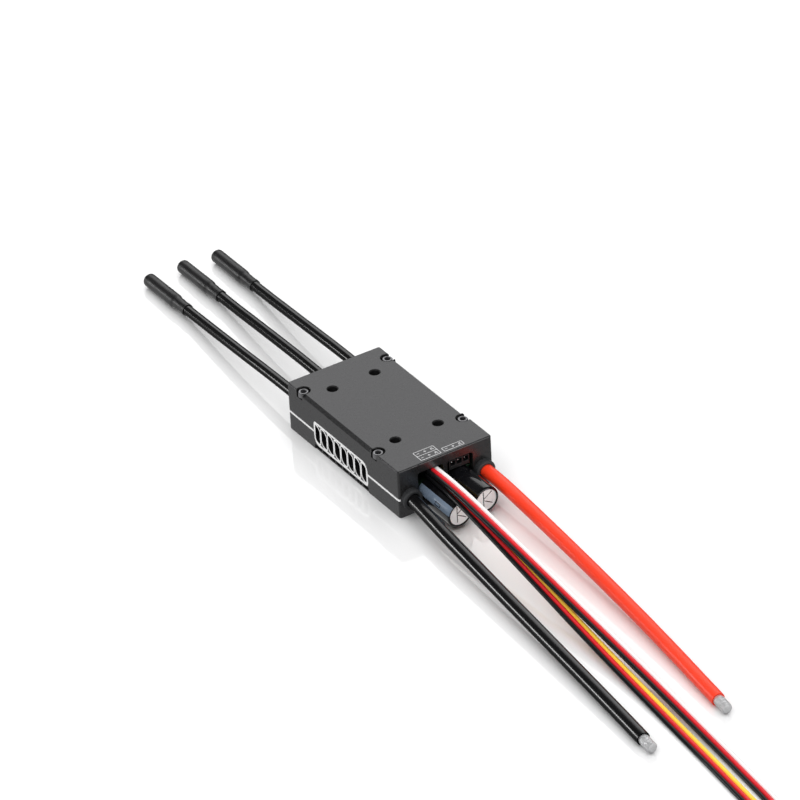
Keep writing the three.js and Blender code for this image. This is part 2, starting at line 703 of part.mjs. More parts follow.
for (const [phase, route] of Object.entries(MOTOR_ROUTES)) {
  add(`motor_wire_${phase}`, tube(route, MOTOR_R, 8, 18), blackSilicone);
  const end = new THREE.Group();
  end.quaternion.setFromUnitVectors(new THREE.Vector3(0, 1, 0), endDirection(route));
  end.position.set(...route.at(-2));
  object.add(end);
  add(`heat_shrink_${phase}`, heatShrinkSleeve(), heatShrink, end);
  add(`bullet_socket_${phase}`, bulletSocket(), brass, end);
}

// ---------------------------------------------------------------- plug-in leads

// A crimp housing with three pin bores in its mated face, made with that face at y = 0.
function crimpHousing(length, thickness) {
  const half = HEADER_WIDTH / 2;
  const t = thickness / 2;
  let body = solid(box(-half, half, -length, 0, -t, t));
  for (const step of [-1, 0, 1]) {
    const h = PLUG_BORE / 2;
    const x = step * PIN_PITCH;
    body = body.subtract(solid(box(x - h, x + h, -PLUG_BORE_DEPTH, 1, -h, h)));
    body = body.subtract(solid(box(
      x - h, x + h, LATCH_FROM - length, LATCH_TO - length, t - LATCH_DEPTH, t + 1)));
  }
  return geometryOf(body);
}

SIGNAL_ROW_ZS.forEach((z, row) => {
  const plug = add(`${leadNames[row]}_plug`, crimpHousing(PLUG_LENGTH, PLUG_THICKNESS), blackPlastic);
  plug.position.set(SIGNAL_X, HEADER_FRONT - GAP, z);
});

// Points on each lead's centreline, from its plug in the case to its far plug.
const LEAD_ROUTES = {
  throttle: [
    [-4.9, -13.4, 13.62], [-4.87, -19, 13.62], [-4.82, -27, 13.8], [-4.85, -36, 13.85],
    [-5.2, -48, 13.65], [-5.6, -62, 12.85], [-5.85, -80, 11.3], [-6, -100, 9.2],
    [-6.1, -120, 7], [-6.35, -140, 5], [-6.9, -160, 3.3], [-7.8, -180, 1.95], [-9.1, -200, 1.1],
    [-10.6, -218, 0.8], [-11.8, -233, 0.78], [-9.5, -242, 0.78], [-3, -248.6, 0.78],
    [6.2, -251, 0.78], [15.3, -248.6, 0.78], [21.9, -242, 0.78], [24.3, -233, 0.8],
    [24.3, -223, 1.1], [24.3, -211, 1.35],
  ],
  rpm: [
    [-4.9, -13.4, 11.08], [-4.89, -14.5, 11.08], [-4.885, -17.6, 11.48], [-4.88, -19.6, 11.62],
    [-4.87, -23, 11.82], [-4.95, -27, 11.82], [-5.3, -36, 11.84], [-5.95, -46, 11.75],
    [-6.8, -62, 10.5], [-7.65, -80, 8.6], [-8.6, -100, 6.5], [-9.55, -120, 4.4],
    [-10.5, -140, 2.6], [-11.7, -160, 1.4],
    [-13.25, -180, 0.85], [-15.05, -200, 0.78], [-17, -220, 0.78], [-18.9, -241, 0.78],
    [-21.4, -249.5, 0.78], [-27.5, -255.5, 0.78], [-35.7, -257.7, 0.78], [-43.9, -255.5, 0.78],
    [-49.9, -249.5, 0.78], [-52.1, -241, 0.8], [-52.1, -232, 1.1], [-52.1, -221.5, 1.35],
  ],
};

const END_PLUG_LENGTH = 14;
const END_PLUG_THICKNESS = 2.7;
for (const [lead, route] of Object.entries(LEAD_ROUTES)) {
  add(`${lead}_lead`, ribbon(route, 62), leadJacket);
  const plug = add(`${lead}_end_plug`, crimpHousing(END_PLUG_LENGTH, END_PLUG_THICKNESS), blackPlastic);
  const [x, y] = route.at(-1);
  plug.position.set(x, y + GAP + END_PLUG_LENGTH, END_PLUG_THICKNESS / 2);
}

export default object;
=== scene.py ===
import math

import bmesh
import bpy
from mathutils import Matrix, Quaternion, Vector


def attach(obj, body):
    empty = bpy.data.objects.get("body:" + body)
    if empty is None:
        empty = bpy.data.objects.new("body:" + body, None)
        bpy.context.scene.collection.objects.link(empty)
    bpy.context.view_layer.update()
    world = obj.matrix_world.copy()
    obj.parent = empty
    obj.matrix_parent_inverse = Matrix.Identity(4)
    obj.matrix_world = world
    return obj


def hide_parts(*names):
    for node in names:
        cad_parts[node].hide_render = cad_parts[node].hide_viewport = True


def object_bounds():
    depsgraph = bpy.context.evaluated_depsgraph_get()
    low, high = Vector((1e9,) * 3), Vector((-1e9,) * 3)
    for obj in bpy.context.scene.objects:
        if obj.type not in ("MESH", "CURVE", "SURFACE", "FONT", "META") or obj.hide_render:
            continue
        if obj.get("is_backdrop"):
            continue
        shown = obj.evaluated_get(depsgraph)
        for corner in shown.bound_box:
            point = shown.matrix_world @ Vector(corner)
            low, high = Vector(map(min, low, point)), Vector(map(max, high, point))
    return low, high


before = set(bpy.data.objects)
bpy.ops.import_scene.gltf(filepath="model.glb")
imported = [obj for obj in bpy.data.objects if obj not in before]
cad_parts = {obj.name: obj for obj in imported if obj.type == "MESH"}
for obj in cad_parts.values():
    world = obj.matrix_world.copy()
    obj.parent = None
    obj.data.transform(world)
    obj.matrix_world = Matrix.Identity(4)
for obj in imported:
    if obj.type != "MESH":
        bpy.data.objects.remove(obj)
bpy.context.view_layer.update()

MM = 0.001
BODY = "controller"
THROTTLE = "throttle_cable"
RPM = "rpm_cable"

# ---------------------------------------- sizes in millimetres, as in the CAD
GAP = 0.3  # between pieces that lie inside one another
HALF_WIDTH = 18.5
FRONT = -26.2
BACK = 42.5
CASE_HEIGHT = 18.3
CASE_CORNER = 0.8
SIDE_WALL = 1.8
END_WALL = 1.8
ROOF = 1.6
FLOOR_T = 2.9
CAP_FLOOR = 0.9
CAP_BED_LENGTH = 8
PARTING = 7
EDGE_CHAMFER = 1.1

SCREW_X = 16.8
SCREW_YS = (34.8, -11.5)
SCREW_BOSS_R = 3.2
SCREW_BOSS_LOW = 0.5
SCREW_POCKET_R = 2.4
SCREW_POCKET_Z = 15.7
SCREW_HOLE_R = 1.3
SCREW_HOLE_LOW = 2
SCREW_HEAD_R = 1.8
SCREW_HEAD_H = 1.9
SCREW_TIP_Z = 3
SCREW_SHANK_R = 1

MOUNT_HOLE_X = 8.43
MOUNT_HOLE_YS = (29.7, -9.2)
MOUNT_HOLE_R = 1.7
MOUNT_HOLE_DEPTH = 2.3
MOUNT_BOSS_R = 2.8
MOUNT_BOSS_Z = 15.5
COUNTERSINK = 0.35

VENT_COUNT = 8
VENT_PITCH = 4.17
VENT_Y = 9.8
VENT_WIDTH = 3.1
VENT_LOW = 3.55
VENT_HIGH = 9.95
VENT_BIG_R = 2.3
VENT_SMALL_R = 0.3
CHANNEL_WIDTH = 3.5
CHANNEL_LOW = 0.4
CHANNEL_HIGH = 1.9
FIN_SETBACK = 0.35

WINDOW_INNER_X = 0.85
WINDOW_OUTER_X = 10.75
WINDOW_TOP = 14.8
WINDOW_CORNER = 1

POWER_X = 14.4
POWER_Z = 7
POWER_R = 2.4
POWER_HOLE_R = 3.3
POWER_FLANGE_R = 3.7
POWER_FLANGE_OUT = 2.5
POWER_BAY_R = 2.75
POWER_START_Y = -16

MOTOR_XS = (-13.2, 0, 13.2)
MOTOR_Z = 9.2
MOTOR_R = 1.9
MOTOR_HOLE_R = 2.7
MOTOR_FLANGE_R = 2.9
MOTOR_FLANGE_OUT = 1

CAP_X = 5.8
CAP_Z = 5.95
CAP_SLEEVE_R = 4.8
CAP_CAN_R = 4.45
CAP_START_Y = FRONT + 1.3
CAP_OUT = {"left": 17.3, "right": 15.5}
CAP_LIP = 0.35
CAP_LIP_WIDTH = 0.5
CAN_SIDES = 144

TINNED_LENGTH = 5.8
TINNED_R = 1.85
SLEEVE_LENGTH = 27
NECK_LENGTH = 7.6
SLEEVE_R = 2.5
NECK_R = 2.2
SOCKET_R = 2.05
SOCKET_BORE = 1.7
CORE_R = 0.775
CORE_PITCH = 1.52

POWER_ROUTES = {
    "minus": [
        (-14.4, -16, 7), (-14.4, -24, 7), (-14.75, -30, 7), (-15.7, -40, 6.9),
        (-16.85, -52, 6.55), (-18.2, -70, 5.95), (-19.6, -90, 5.2), (-21, -110, 4.55),
        (-22.4, -130, 3.9), (-23.8, -150, 3.25), (-24.9, -165, 2.75), (-25.9, -177, 2.45),
    ],
    "plus": [
        (14.4, -16, 7), (14.4, -24, 7), (14.55, -30, 7), (14.4, -40, 6.9), (13.9, -52, 6.55),
        (13, -70, 5.95), (11.9, -90, 5.2), (10.55, -110, 4.55), (9, -130, 3.9),
        (7.2, -150, 3.25), (5.7, -165, 2.75), (4.85, -174, 2.45),
    ],
}
MOTOR_ROUTES = {
    "a": [
        (-13.2, 38.3, 9.2), (-13.2, 44, 9.2), (-13.05, 52, 8.95), (-12.75, 65, 8.3),
        (-12.4, 78, 7.4), (-11.95, 90, 6.45), (-11.4, 101, 5.45), (-10.8, 112, 4.4),
        (-10.35, 122.1, 3.6), (-10.25, 129, 3.36),
    ],
    "b": [
        (0, 38.3, 9.2), (0, 44, 9.2), (0.35, 52, 8.95), (0.9, 65, 8.3), (1.45, 78, 7.4),
        (2, 90, 6.45), (2.55, 101, 5.45), (3.15, 112, 4.4), (3.7, 122.7, 3.6),
        (3.82, 129.6, 3.36),
    ],
    "c": [
        (13.2, 38.3, 9.2), (13.25, 44, 9.2), (13.6, 52, 8.95), (14.05, 65, 8.3),
        (14.5, 78, 7.4), (15, 90, 6.45), (15.6, 101, 5.45), (16.25, 112, 4.4),
        (16.8, 121.4, 3.6), (16.98, 128.3, 3.36),
    ],
}
LEAD_ROUTES = {
    "throttle": [
        (-4.9, -13.4, 13.62), (-4.87, -19, 13.62), (-4.82, -27, 13.8), (-4.85, -36, 13.85),
        (-5.2, -48, 13.65), (-5.6, -62, 12.85), (-5.85, -80, 11.3), (-6, -100, 9.2),
        (-6.1, -120, 7), (-6.35, -140, 5), (-6.9, -160, 3.3), (-7.8, -180, 1.95),
        (-9.1, -200, 1.1), (-10.6, -218, 0.8), (-11.8, -233, 0.78), (-9.5, -242, 0.78),
        (-3, -248.6, 0.78), (6.2, -251, 0.78), (15.3, -248.6, 0.78), (21.9, -242, 0.78),
        (24.3, -233, 0.8), (24.3, -223, 1.1), (24.3, -211, 1.35),
    ],
    "rpm": [
        (-4.9, -13.4, 11.08), (-4.89, -14.5, 11.08), (-4.885, -17.6, 11.48),
        (-4.88, -19.6, 11.62), (-4.87, -23, 11.82), (-4.95, -27, 11.82), (-5.3, -36, 11.84),
        (-5.95, -46, 11.75), (-6.8, -62, 10.5), (-7.65, -80, 8.6),
        (-8.6, -100, 6.5), (-9.55, -120, 4.4), (-10.5, -140, 2.6), (-11.7, -160, 1.4),
        (-13.25, -180, 0.85), (-15.05, -200, 0.78), (-17, -220, 0.78), (-18.9, -241, 0.78),
        (-21.4, -249.5, 0.78), (-27.5, -255.5, 0.78), (-35.7, -257.7, 0.78),
        (-43.9, -255.5, 0.78), (-49.9, -249.5, 0.78), (-52.1, -241, 0.8), (-52.1, -232, 1.1),
        (-52.1, -221.5, 1.35),
    ],
}


def linked(name, data):
    """A new object in the scene."""
    made = bpy.data.objects.new(name, data)
    bpy.context.scene.collection.objects.link(made)
    return made


# ---------------------------------------- camera
camera = linked("camera", bpy.data.cameras.new("camera"))
bpy.context.scene.camera = camera
camera.data.lens = 270
camera.data.sensor_width = 36
camera.data.clip_start = 0.05
camera.data.clip_end = 50
camera.location = (-0.86479, -1.42910, 1.11190)
CAMERA_DIRECTION = Vector((0.433982, 0.717333, -0.545063))
CAMERA_ROLL = -3.247
camera.rotation_mode = "QUATERNION"
camera.rotation_quaternion = CAMERA_DIRECTION.to_track_quat("-Z", "Y") @ Quaternion(
    (0, 0, 1), math.radians(CAMERA_ROLL)
)

# ---------------------------------------- materials


def node(tree, kind, links=(), **inputs):
    """A shader node with inputs set by name, and linked by name or number from links."""
    made = tree.nodes.new(kind)
    for key, value in inputs.items():
        made.inputs[key.replace("_", " ")].default_value = value
    for key, source in dict(links).items():
        tree.links.new(source, made.inputs[key])
    return made


def ramp(tree, source, stops):
    """A colour ramp over source; stops are (position, colour)."""
    made = tree.nodes.new("ShaderNodeValToRGB")
    tree.links.new(source, made.inputs["Fac"])
    elements = made.color_ramp.elements
    while len(elements) > 1:
        elements.remove(elements[-1])
    for i, (position, colour) in enumerate(stops):
        element = elements[0] if i == 0 else elements.new(position)
        element.position = position
        element.color = (*colour, 1)
    return made.outputs["Color"]


def span(tree, source, source_range, result_range):
    """source mapped from one range onto another."""
    return node(
        tree, "ShaderNodeMapRange", {"Value": source},
        From_Min=source_range[0], From_Max=source_range[1],
        To_Min=result_range[0], To_Max=result_range[1],
    ).outputs["Result"]


ROUGHNESS_SPREAD = 0.06
NOISE_RANGE = (0.3, 0.7)  # where a noise's values mostly lie


def material(name, colour, roughness, metallic=0.0, shade=0.12, patch=250, grain=9000,
             bump=0.08, depth=0.00002, stretch=(1, 1, 1), **shader):
    """A surface with slow colour and roughness variation and a fine grain in its bump.

    shade is the colour's variation, patch and grain are noise scales per metre, and
    a stretch below 1 draws the noise out along that axis."""
    made = bpy.data.materials.new(name)
    made.use_nodes = True
    tree = made.node_tree
    principled = tree.nodes["Principled BSDF"]
    place = tree.nodes.new("ShaderNodeTexCoord").outputs["Object"]
    drawn = node(tree, "ShaderNodeMapping", {"Vector": place}, Scale=stretch).outputs["Vector"]
    slow = node(tree, "ShaderNodeTexNoise", {"Vector": drawn}, Scale=patch, Detail=3)
    fine = node(tree, "ShaderNodeTexNoise", {"Vector": drawn}, Scale=grain, Detail=4)
    dark = tuple(c * (1 - shade) for c in colour)
    light = tuple(min(1, c * (1 + shade)) for c in colour)
    both = node(tree, "ShaderNodeMath", {0: slow.outputs["Fac"], 1: fine.outputs["Fac"]})
    both.operation = "ADD"
    mean = node(tree, "ShaderNodeMath", {0: both.outputs["Value"]})
    mean.operation = "MULTIPLY"
    mean.inputs[1].default_value = 0.5
    base = ramp(tree, mean.outputs["Value"], [(0.35, dark), (0.65, light)])
    tree.links.new(base, principled.inputs["Base Color"])
    rough = span(tree, mean.outputs["Value"], NOISE_RANGE,
                 (max(0, roughness - ROUGHNESS_SPREAD), min(1, roughness + ROUGHNESS_SPREAD)))
    tree.links.new(rough, principled.inputs["Roughness"])
    bumped = node(tree, "ShaderNodeBump", {"Height": fine.outputs["Fac"]}, Strength=bump,
                  Distance=depth)
    tree.links.new(bumped.outputs["Normal"], principled.inputs["Normal"])
    principled.inputs["Metallic"].default_value = metallic
    for key, value in shader.items():
        principled.inputs[key.replace("_", " ")].default_value = value
    return made


def paint_flank_shade(look, facing_up, sheen):
    """Painted shade: a material's sheen fades where its surface turns from the sky to the ground.
    """
    tree = look.node_tree
    normal = tree.nodes.new("ShaderNodeNewGeometry").outputs["Normal"]
    upwards = node(tree, "ShaderNodeSeparateXYZ", {"Vector": normal}).outputs["Z"]
    tree.links.new(span(tree, upwards, facing_up, sheen),
                   tree.nodes["Principled BSDF"].inputs["Specular IOR Level"])


anodised = material("anodised_case", (0.085, 0.085, 0.087), 0.3, 0.85, shade=0.1, patch=900,
                    grain=14000, bump=0.25)
screw_steel = material("black_oxide_steel", (0.27, 0.27, 0.28), 0.32, 0.9, shade=0.15,
                       grain=12000)
plug_plastic = material("moulded_plug_plastic", (0.008, 0.008, 0.009), 0.4, shade=0.2)
grommet_rubber = material("grommet_rubber", (0.03, 0.031, 0.033), 0.6, shade=0.15, bump=0.2)
black_silicone = material("black_silicone", (0.003, 0.003, 0.0033), 0.21, shade=0.2, grain=5000,
                          stretch=(1, 0.03, 1), bump=0.03)
# painted shade: the black silicone's sheen is weakened on its downward flanks
paint_flank_shade(black_silicone, facing_up=(0.2, 0.5), sheen=(0.03, 0.7))
red_silicone = material("red_silicone", (0.93, 0.045, 0.012), 0.38, shade=0.05, grain=5000,
                        stretch=(1, 0.15, 1), bump=0.12)
tinned = material("tinned_copper", (0.88, 0.88, 0.89), 0.33, 0.75, shade=0.12, patch=1500,
                  grain=3200, stretch=(1, 0.2, 1), bump=0.9, depth=0.0002)
heat_shrink = material("heat_shrink_tube", (0.007, 0.007, 0.0075), 0.42, shade=0.2, patch=500,
                       grain=7000, bump=0.15, Specular_IOR_Level=0.9)
gold = material("gold_plate", (0.85, 0.6, 0.22), 0.22, 1.0, shade=0.06)
cap_black = material("capacitor_film_black", (0.004, 0.004, 0.005), 0.16, shade=0.2,
                     grain=5000, bump=0.06, Coat_Weight=0.3)
cap_stripe = material("capacitor_film_stripe", (0.15, 0.195, 0.26), 0.27, shade=0.08,
                      grain=5000, bump=0.06, Coat_Weight=0.3)
can_metal = material("can_aluminium", (0.95, 0.955, 0.96), 0.34, 0.15, shade=0.03, grain=12000,
                     bump=0.1)
# the scored lines' near-black colour is painted shade in their grooves
score_shade = material("can_score_painted_shade", (0.03, 0.03, 0.032), 0.5, 0.3, grain=12000)
board_mask = material("solder_mask", (0.01, 0.03, 0.014), 0.35, shade=0.25, patch=600)
epoxy = material("chip_epoxy", (0.014, 0.014, 0.015), 0.55, shade=0.2)
pad_grey = material("thermal_pad_silicone", (0.3, 0.36, 0.42), 0.8, shade=0.15)
white_mark = material("white_mark", (0.95, 0.95, 0.95), 0.5, shade=0.04, grain=9000)
grey_mark = material("grey_mark", (0.62, 0.62, 0.63), 0.5, shade=0.06, grain=9000)
core_colours = {
    "black": material("core_black", (0.006, 0.006, 0.0065), 0.3, shade=0.2, stretch=(1, 0.1, 1),
                      Specular_IOR_Level=0.3),
    "red": material("core_red", (0.66, 0.012, 0.02), 0.36, shade=0.08, stretch=(1, 0.1, 1)),
    "white": material("core_white", (0.86, 0.86, 0.85), 0.38, shade=0.03, stretch=(1, 0.1, 1)),
    "yellow": material("core_yellow", (0.97, 0.64, 0.06), 0.37, shade=0.05, stretch=(1, 0.1, 1)),
}

# ---------------------------------------- mesh helpers
SMOOTH_ANGLE = math.radians(32)
NEARLY_FLAT = math.radians(0.6)
WELD = 1e-7


def add_object(name, mesh, body=BODY, smooth=SMOOTH_ANGLE):
    """Links a mesh as a piece that rides on a body, smooth except at its sharp edges."""
    mesh.name = name
    made = linked(name, mesh)
    for face in mesh.polygons:
        face.use_smooth = True
    mesh.set_sharp_from_angle(angle=smooth)
    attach(made, body)
    return made


def with_look(mesh, look):
    """mesh with one material only."""
    mesh.materials.clear()
    mesh.materials.append(look)
    return mesh


def rings_mesh(rings, materials, caps=(False, False), index=None):
    """Faces between successive rings of points, given in millimetres.

    caps close the first and last ring, and index(ring, side) picks each face's material."""
    sides = len(rings[0])
    points = [tuple(c * MM for c in p) for ring in rings for p in ring]
    faces, indices = [], []
    for i in range(len(rings) - 1):
        for j in range(sides):
            k = (j + 1) % sides
            a, b = i * sides, (i + 1) * sides
            faces.append((a + j, a + k, b + k, b + j))
            indices.append(index(i, j) if index else 0)
    if caps[0]:
        faces.append(tuple(reversed(range(sides))))
        indices.append(0)
    if caps[1]:
        start = (len(rings) - 1) * sides
        faces.append(tuple(range(start, start + sides)))
        indices.append(0)
    mesh = bpy.data.meshes.new("rings")
    mesh.from_pydata(points, [], faces)
    for look in materials:
        mesh.materials.append(look)
    mesh.polygons.foreach_set("material_index", indices)
    mesh.validate()
    return mesh


def facing_out(mesh):
    """Turns a closed mesh's faces outwards."""
    work = bmesh.new()
    work.from_mesh(mesh)
    bmesh.ops.recalc_face_normals(work, faces=work.faces)
    work.to_mesh(mesh)
    work.free()
    return mesh


def cleaned(mesh):
    """Merges doubled points, drops empty faces and turns the rest outwards."""
    work = bmesh.new()
    work.from_mesh(mesh)
    bmesh.ops.remove_doubles(work, verts=work.verts, dist=WELD)
    bmesh.ops.dissolve_degenerate(work, edges=work.edges, dist=WELD / 10)
    bmesh.ops.recalc_face_normals(work, faces=work.faces)
    work.to_mesh(mesh)
    work.free()
    return mesh


def band(loops, materials):
    """A closed band through four loops of as many points each."""
    return cleaned(rings_mesh([*loops, loops[0]], materials))


AXIS_ORDER = {
    "X": lambda u, v, w: (w, u, v),
    "Y": lambda u, v, w: (u, w, v),
    "Z": lambda u, v, w: (u, v, w),
}


def prism(outline, axis, low, high, hole=None):
    """A closed prism on an outline: (y, z) along X, (x, z) along Y or (x, y) along Z.

    hole is an inner outline with as many points, which leaves a band."""
    place = AXIS_ORDER[axis]

    def loop(points, w):
        return [Vector(place(u, v, w)) for u, v in points]

    if hole is None:
        ends = [loop(outline, low), loop(outline, high)]
        return facing_out(rings_mesh(ends, [], caps=(True, True)))
    return band([loop(outline, low), loop(outline, high), loop(hole, high), loop(hole, low)], [])


def loft(outline, axis, stations):
    """A closed body through outline(grow) at each (level, grow) station along an axis."""
    place = AXIS_ORDER[axis]
    rings = [[Vector(place(u, v, w)) for u, v in outline(grow)] for w, grow in stations]
    return facing_out(rings_mesh(rings, [], caps=(True, True)))


def box(x0, x1, y0, y1, z0, z1):
    """A closed box between two levels on each axis."""
    return prism([(x0, y0), (x1, y0), (x1, y1), (x0, y1)], "Z", z0, z1)


def arc(centre, radius, start, end, steps):
    """Points on an arc between two angles, given in quarter turns."""
    angles = [math.pi / 2 * (start + (end - start) * k / steps) for k in range(steps + 1)]
    return [(centre[0] + radius * math.cos(a), centre[1] + radius * math.sin(a)) for a in angles]


def rounded(u0, u1, v0, v1, radii, steps=8):
    """A rectangle's outline, with the radii of its corners from low u and low v onwards."""
    corners = ((u0, v0, 1, 1), (u1, v0, -1, 1), (u1, v1, -1, -1), (u0, v1, 1, -1))
    points = []
    for i, ((u, v, du, dv), r) in enumerate(zip(corners, radii)):
        points += arc((u + du * r, v + dv * r), r, i + 2, i + 3, steps)
    return points


def circle(radius, sides):
    """Points round a circle about the origin."""
    angles = [2 * math.pi * j / sides for j in range(sides)]
    return [(radius * math.cos(a), radius * math.sin(a)) for a in angles]


def round_bar(radius, x, level, low, high, axis, sides=64):
    """A cylinder for cutting and joining, along Y at (x, z) or along Z at (x, y)."""
    outline = [(x + a, level + b) for a, b in circle(radius, sides)]
    return prism(outline, axis, low, high)


def joined(meshes, look):
    """One mesh of several closed ones, with one material."""
    work = bmesh.new()
    for mesh in meshes:
        work.from_mesh(mesh)
    whole = bpy.data.meshes.new("joined")
    work.to_mesh(whole)
    work.free()
    return with_look(whole, look)


ADD, CUT, KEEP = "UNION", "DIFFERENCE", "INTERSECT"


def combined(base, steps):
    """base after each (operation, tool) of steps; KEEP leaves what lies in both."""
    body = linked("base", base)
    used = [body]
    for operation, mesh in steps:
        tool = linked("tool", mesh)
        used.append(tool)
        change = body.modifiers.new("boolean", "BOOLEAN")
        change.operation = operation
        change.solver = "MANIFOLD"
        change.object = tool
    result = bpy.data.meshes.new_from_object(
        body.evaluated_get(bpy.context.evaluated_depsgraph_get()))
    for obj in used:
        bpy.data.objects.remove(obj)
    return result


def eased(mesh, width):
    """Rounds a mesh's sharp edges off over a width in millimetres."""
    work = bmesh.new()
    work.from_mesh(mesh)
    bmesh.ops.remove_doubles(work, verts=work.verts, dist=3 * WELD)
    bmesh.ops.dissolve_limit(work, angle_limit=NEARLY_FLAT, verts=work.verts, edges=work.edges)
    sharp = [edge for edge in work.edges
             if len(edge.link_faces) == 2 and edge.calc_face_angle() > SMOOTH_ANGLE]
    bmesh.ops.bevel(work, geom=sharp, offset=width * MM, offset_type="OFFSET", profile=0.5,
                    segments=3, affect="EDGES", clamp_overlap=False)
    work.to_mesh(mesh)
    work.free()
    return mesh


def even_shading(piece):
    """Keeps the flat faces beside rounded edges looking flat."""
    shading = piece.modifiers.new("even_shading", "WEIGHTED_NORMAL")
    shading.keep_sharp = True
    return piece


def turned(profile, place, materials, sides=48, index=None, reach=None, dent=None):
    """A lathed mesh about place's Z axis from a profile of (radius, along), in millimetres.

    A profile that doesn't start and end on the axis closes on itself. reach(angle, i)
    scales the radius of ring i at an angle, and dent(u, v, i) moves its points along."""
    solid = profile[0][0] == 0
    rings = []
    for i, (radius, along) in enumerate(profile):
        ring = []
        for j in range(sides):
            angle = 2 * math.pi * j / sides
            r = radius * (reach(angle, i) if reach else 1)
            u, v = r * math.cos(angle), r * math.sin(angle)
            ring.append(place @ Vector((u, v, along + (dent(u, v, i) if dent else 0))))
        rings.append(ring)
    if not solid:
        rings.append(rings[0])
    return cleaned(rings_mesh(rings, materials, index=index))


def facing(side, x, y, z):
    """A placing matrix whose Z axis is -Y for side -1 or +Y for side 1, with world +Z as its Y."""
    columns = (Vector((-side, 0, 0)), Vector((0, 0, 1)), Vector((0, side, 0)))
    turn = Matrix(columns).transposed().to_4x4()
    return Matrix.Translation((x, y, z)) @ turn


def along_axis(origin, direction):
    """A placing matrix, in millimetres, whose Z axis is direction."""
    rotation = Vector(direction).normalized().to_track_quat("Z", "Y").to_matrix().to_4x4()
    return Matrix.Translation(Vector(origin)) @ rotation


FINE_STEP = 0.5


def smooth_route(points, spacing):
    """Points about spacing apart on the centripetal curve through the route's points."""
    p = [Vector(q) for q in points]
    p = [2 * p[0] - p[1], *p, 2 * p[-1] - p[-2]]
    fine = []
    for i in range(1, len(p) - 2):
        four = p[i - 1:i + 3]
        knots = [0.0]
        for a, b in zip(four, four[1:]):
            knots.append(knots[-1] + math.sqrt((b - a).length))
        pieces = max(4, int((four[2] - four[1]).length / FINE_STEP))
        for step in range(pieces):
            t = knots[1] + (knots[2] - knots[1]) * step / pieces
            level = list(four)
            for degree in (1, 2):
                level = [
                    level[k].lerp(level[k + 1], (t - knots[k]) / (knots[k + degree] - knots[k]))
                    for k in range(len(level) - 1)
                ]
            fine.append(level[0].lerp(level[1], (t - knots[1]) / (knots[2] - knots[1])))
    fine.append(p[-2])
    lengths = [0.0]
    for a, b in zip(fine, fine[1:]):
        lengths.append(lengths[-1] + (b - a).length)
    count = max(2, round(lengths[-1] / spacing))
    even, k = [], 0
    for i in range(count + 1):
        want = lengths[-1] * i / count
        while k < len(fine) - 2 and lengths[k + 1] < want:
            k += 1
        part = (want - lengths[k]) / (lengths[k + 1] - lengths[k])
        even.append(fine[k].lerp(fine[k + 1], part))
    return even


def swept(path, section, materials, index=None):
    """A closed tube along path. section(i) gives (across, up) offsets of the ring at point i."""
    rings = []
    for i, centre in enumerate(path):
        ahead = path[min(i + 1, len(path) - 1)] - path[max(i - 1, 0)]
        ahead.normalize()
        across = ahead.cross(Vector((0, 0, 1))).normalized()
        up = across.cross(ahead)
        rings.append([centre + across * a + up * b for a, b in section(i)])
    return facing_out(rings_mesh(rings, materials, caps=(True, True), index=index))


# ---------------------------------------- cords: power wires
WIRE_SIDES = 28
WIRE_STEP = 1.6
CUT_EDGE = 0.97
STRANDS = 18
STRAND_DEPTH = 0.17
STRAND_TWIST = 0.16
TINNED_STEPS = 16
TINNED_WAVE = 0.03


def strand_reach(angle, i):
    """Round strands that turn a little from each ring to the next."""
    turn = angle - i * STRAND_TWIST
    return 1 - STRAND_DEPTH * (1 - abs(math.cos(turn * STRANDS / 2)) ** 0.6)


def tinned_profile():
    """The soldered strands from just inside the rubber to their blunt end."""
    points = [(0, -0.4), (TINNED_R * 0.98, -0.4)]
    for k in range(TINNED_STEPS + 1):
        along = (TINNED_LENGTH - 0.9) * k / TINNED_STEPS
        points.append((TINNED_R * (1 - TINNED_WAVE * math.sin(k * 1.3)), along))
    return points + [
        (TINNED_R * 0.97, TINNED_LENGTH - 0.4), (TINNED_R * 0.88, TINNED_LENGTH - 0.1),
        (TINNED_R * 0.5, TINNED_LENGTH), (0, TINNED_LENGTH - 0.15),
    ]


for pole, side, rubber, slot in (("minus", -1, black_silicone, "black_silicone"),
                                 ("plus", 1, red_silicone, "red_silicone")):
    route = POWER_ROUTES[pole]
    path = smooth_route(route, WIRE_STEP)
    ring = circle(POWER_R, WIRE_SIDES)
    cut_ring = [(a * CUT_EDGE, b * CUT_EDGE) for a, b in ring]

    def wire_ring(i, ring=ring, cut_ring=cut_ring, ends=(0, len(path) - 1)):
        return cut_ring if i in ends else ring

    wire = add_object(f"power_cable_{pole}", swept(path, wire_ring, [rubber]))
    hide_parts(f"power_wire_{pole}")
    end = Vector(route[-1])
    place = along_axis(end, end - Vector(route[-2]))
    stub = add_object(
        f"tinned_strands_{pole}",
        turned(tinned_profile(), place, [tinned], sides=112, reach=strand_reach),
        smooth=math.radians(50),
    )
    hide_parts(f"tinned_end_{pole}")

# ---------------------------------------- cords: motor wires
MOTOR_SIDES = 24
SLEEVE_BORE = SOCKET_R + 0.1
WIRE_BORE = MOTOR_R + 0.02
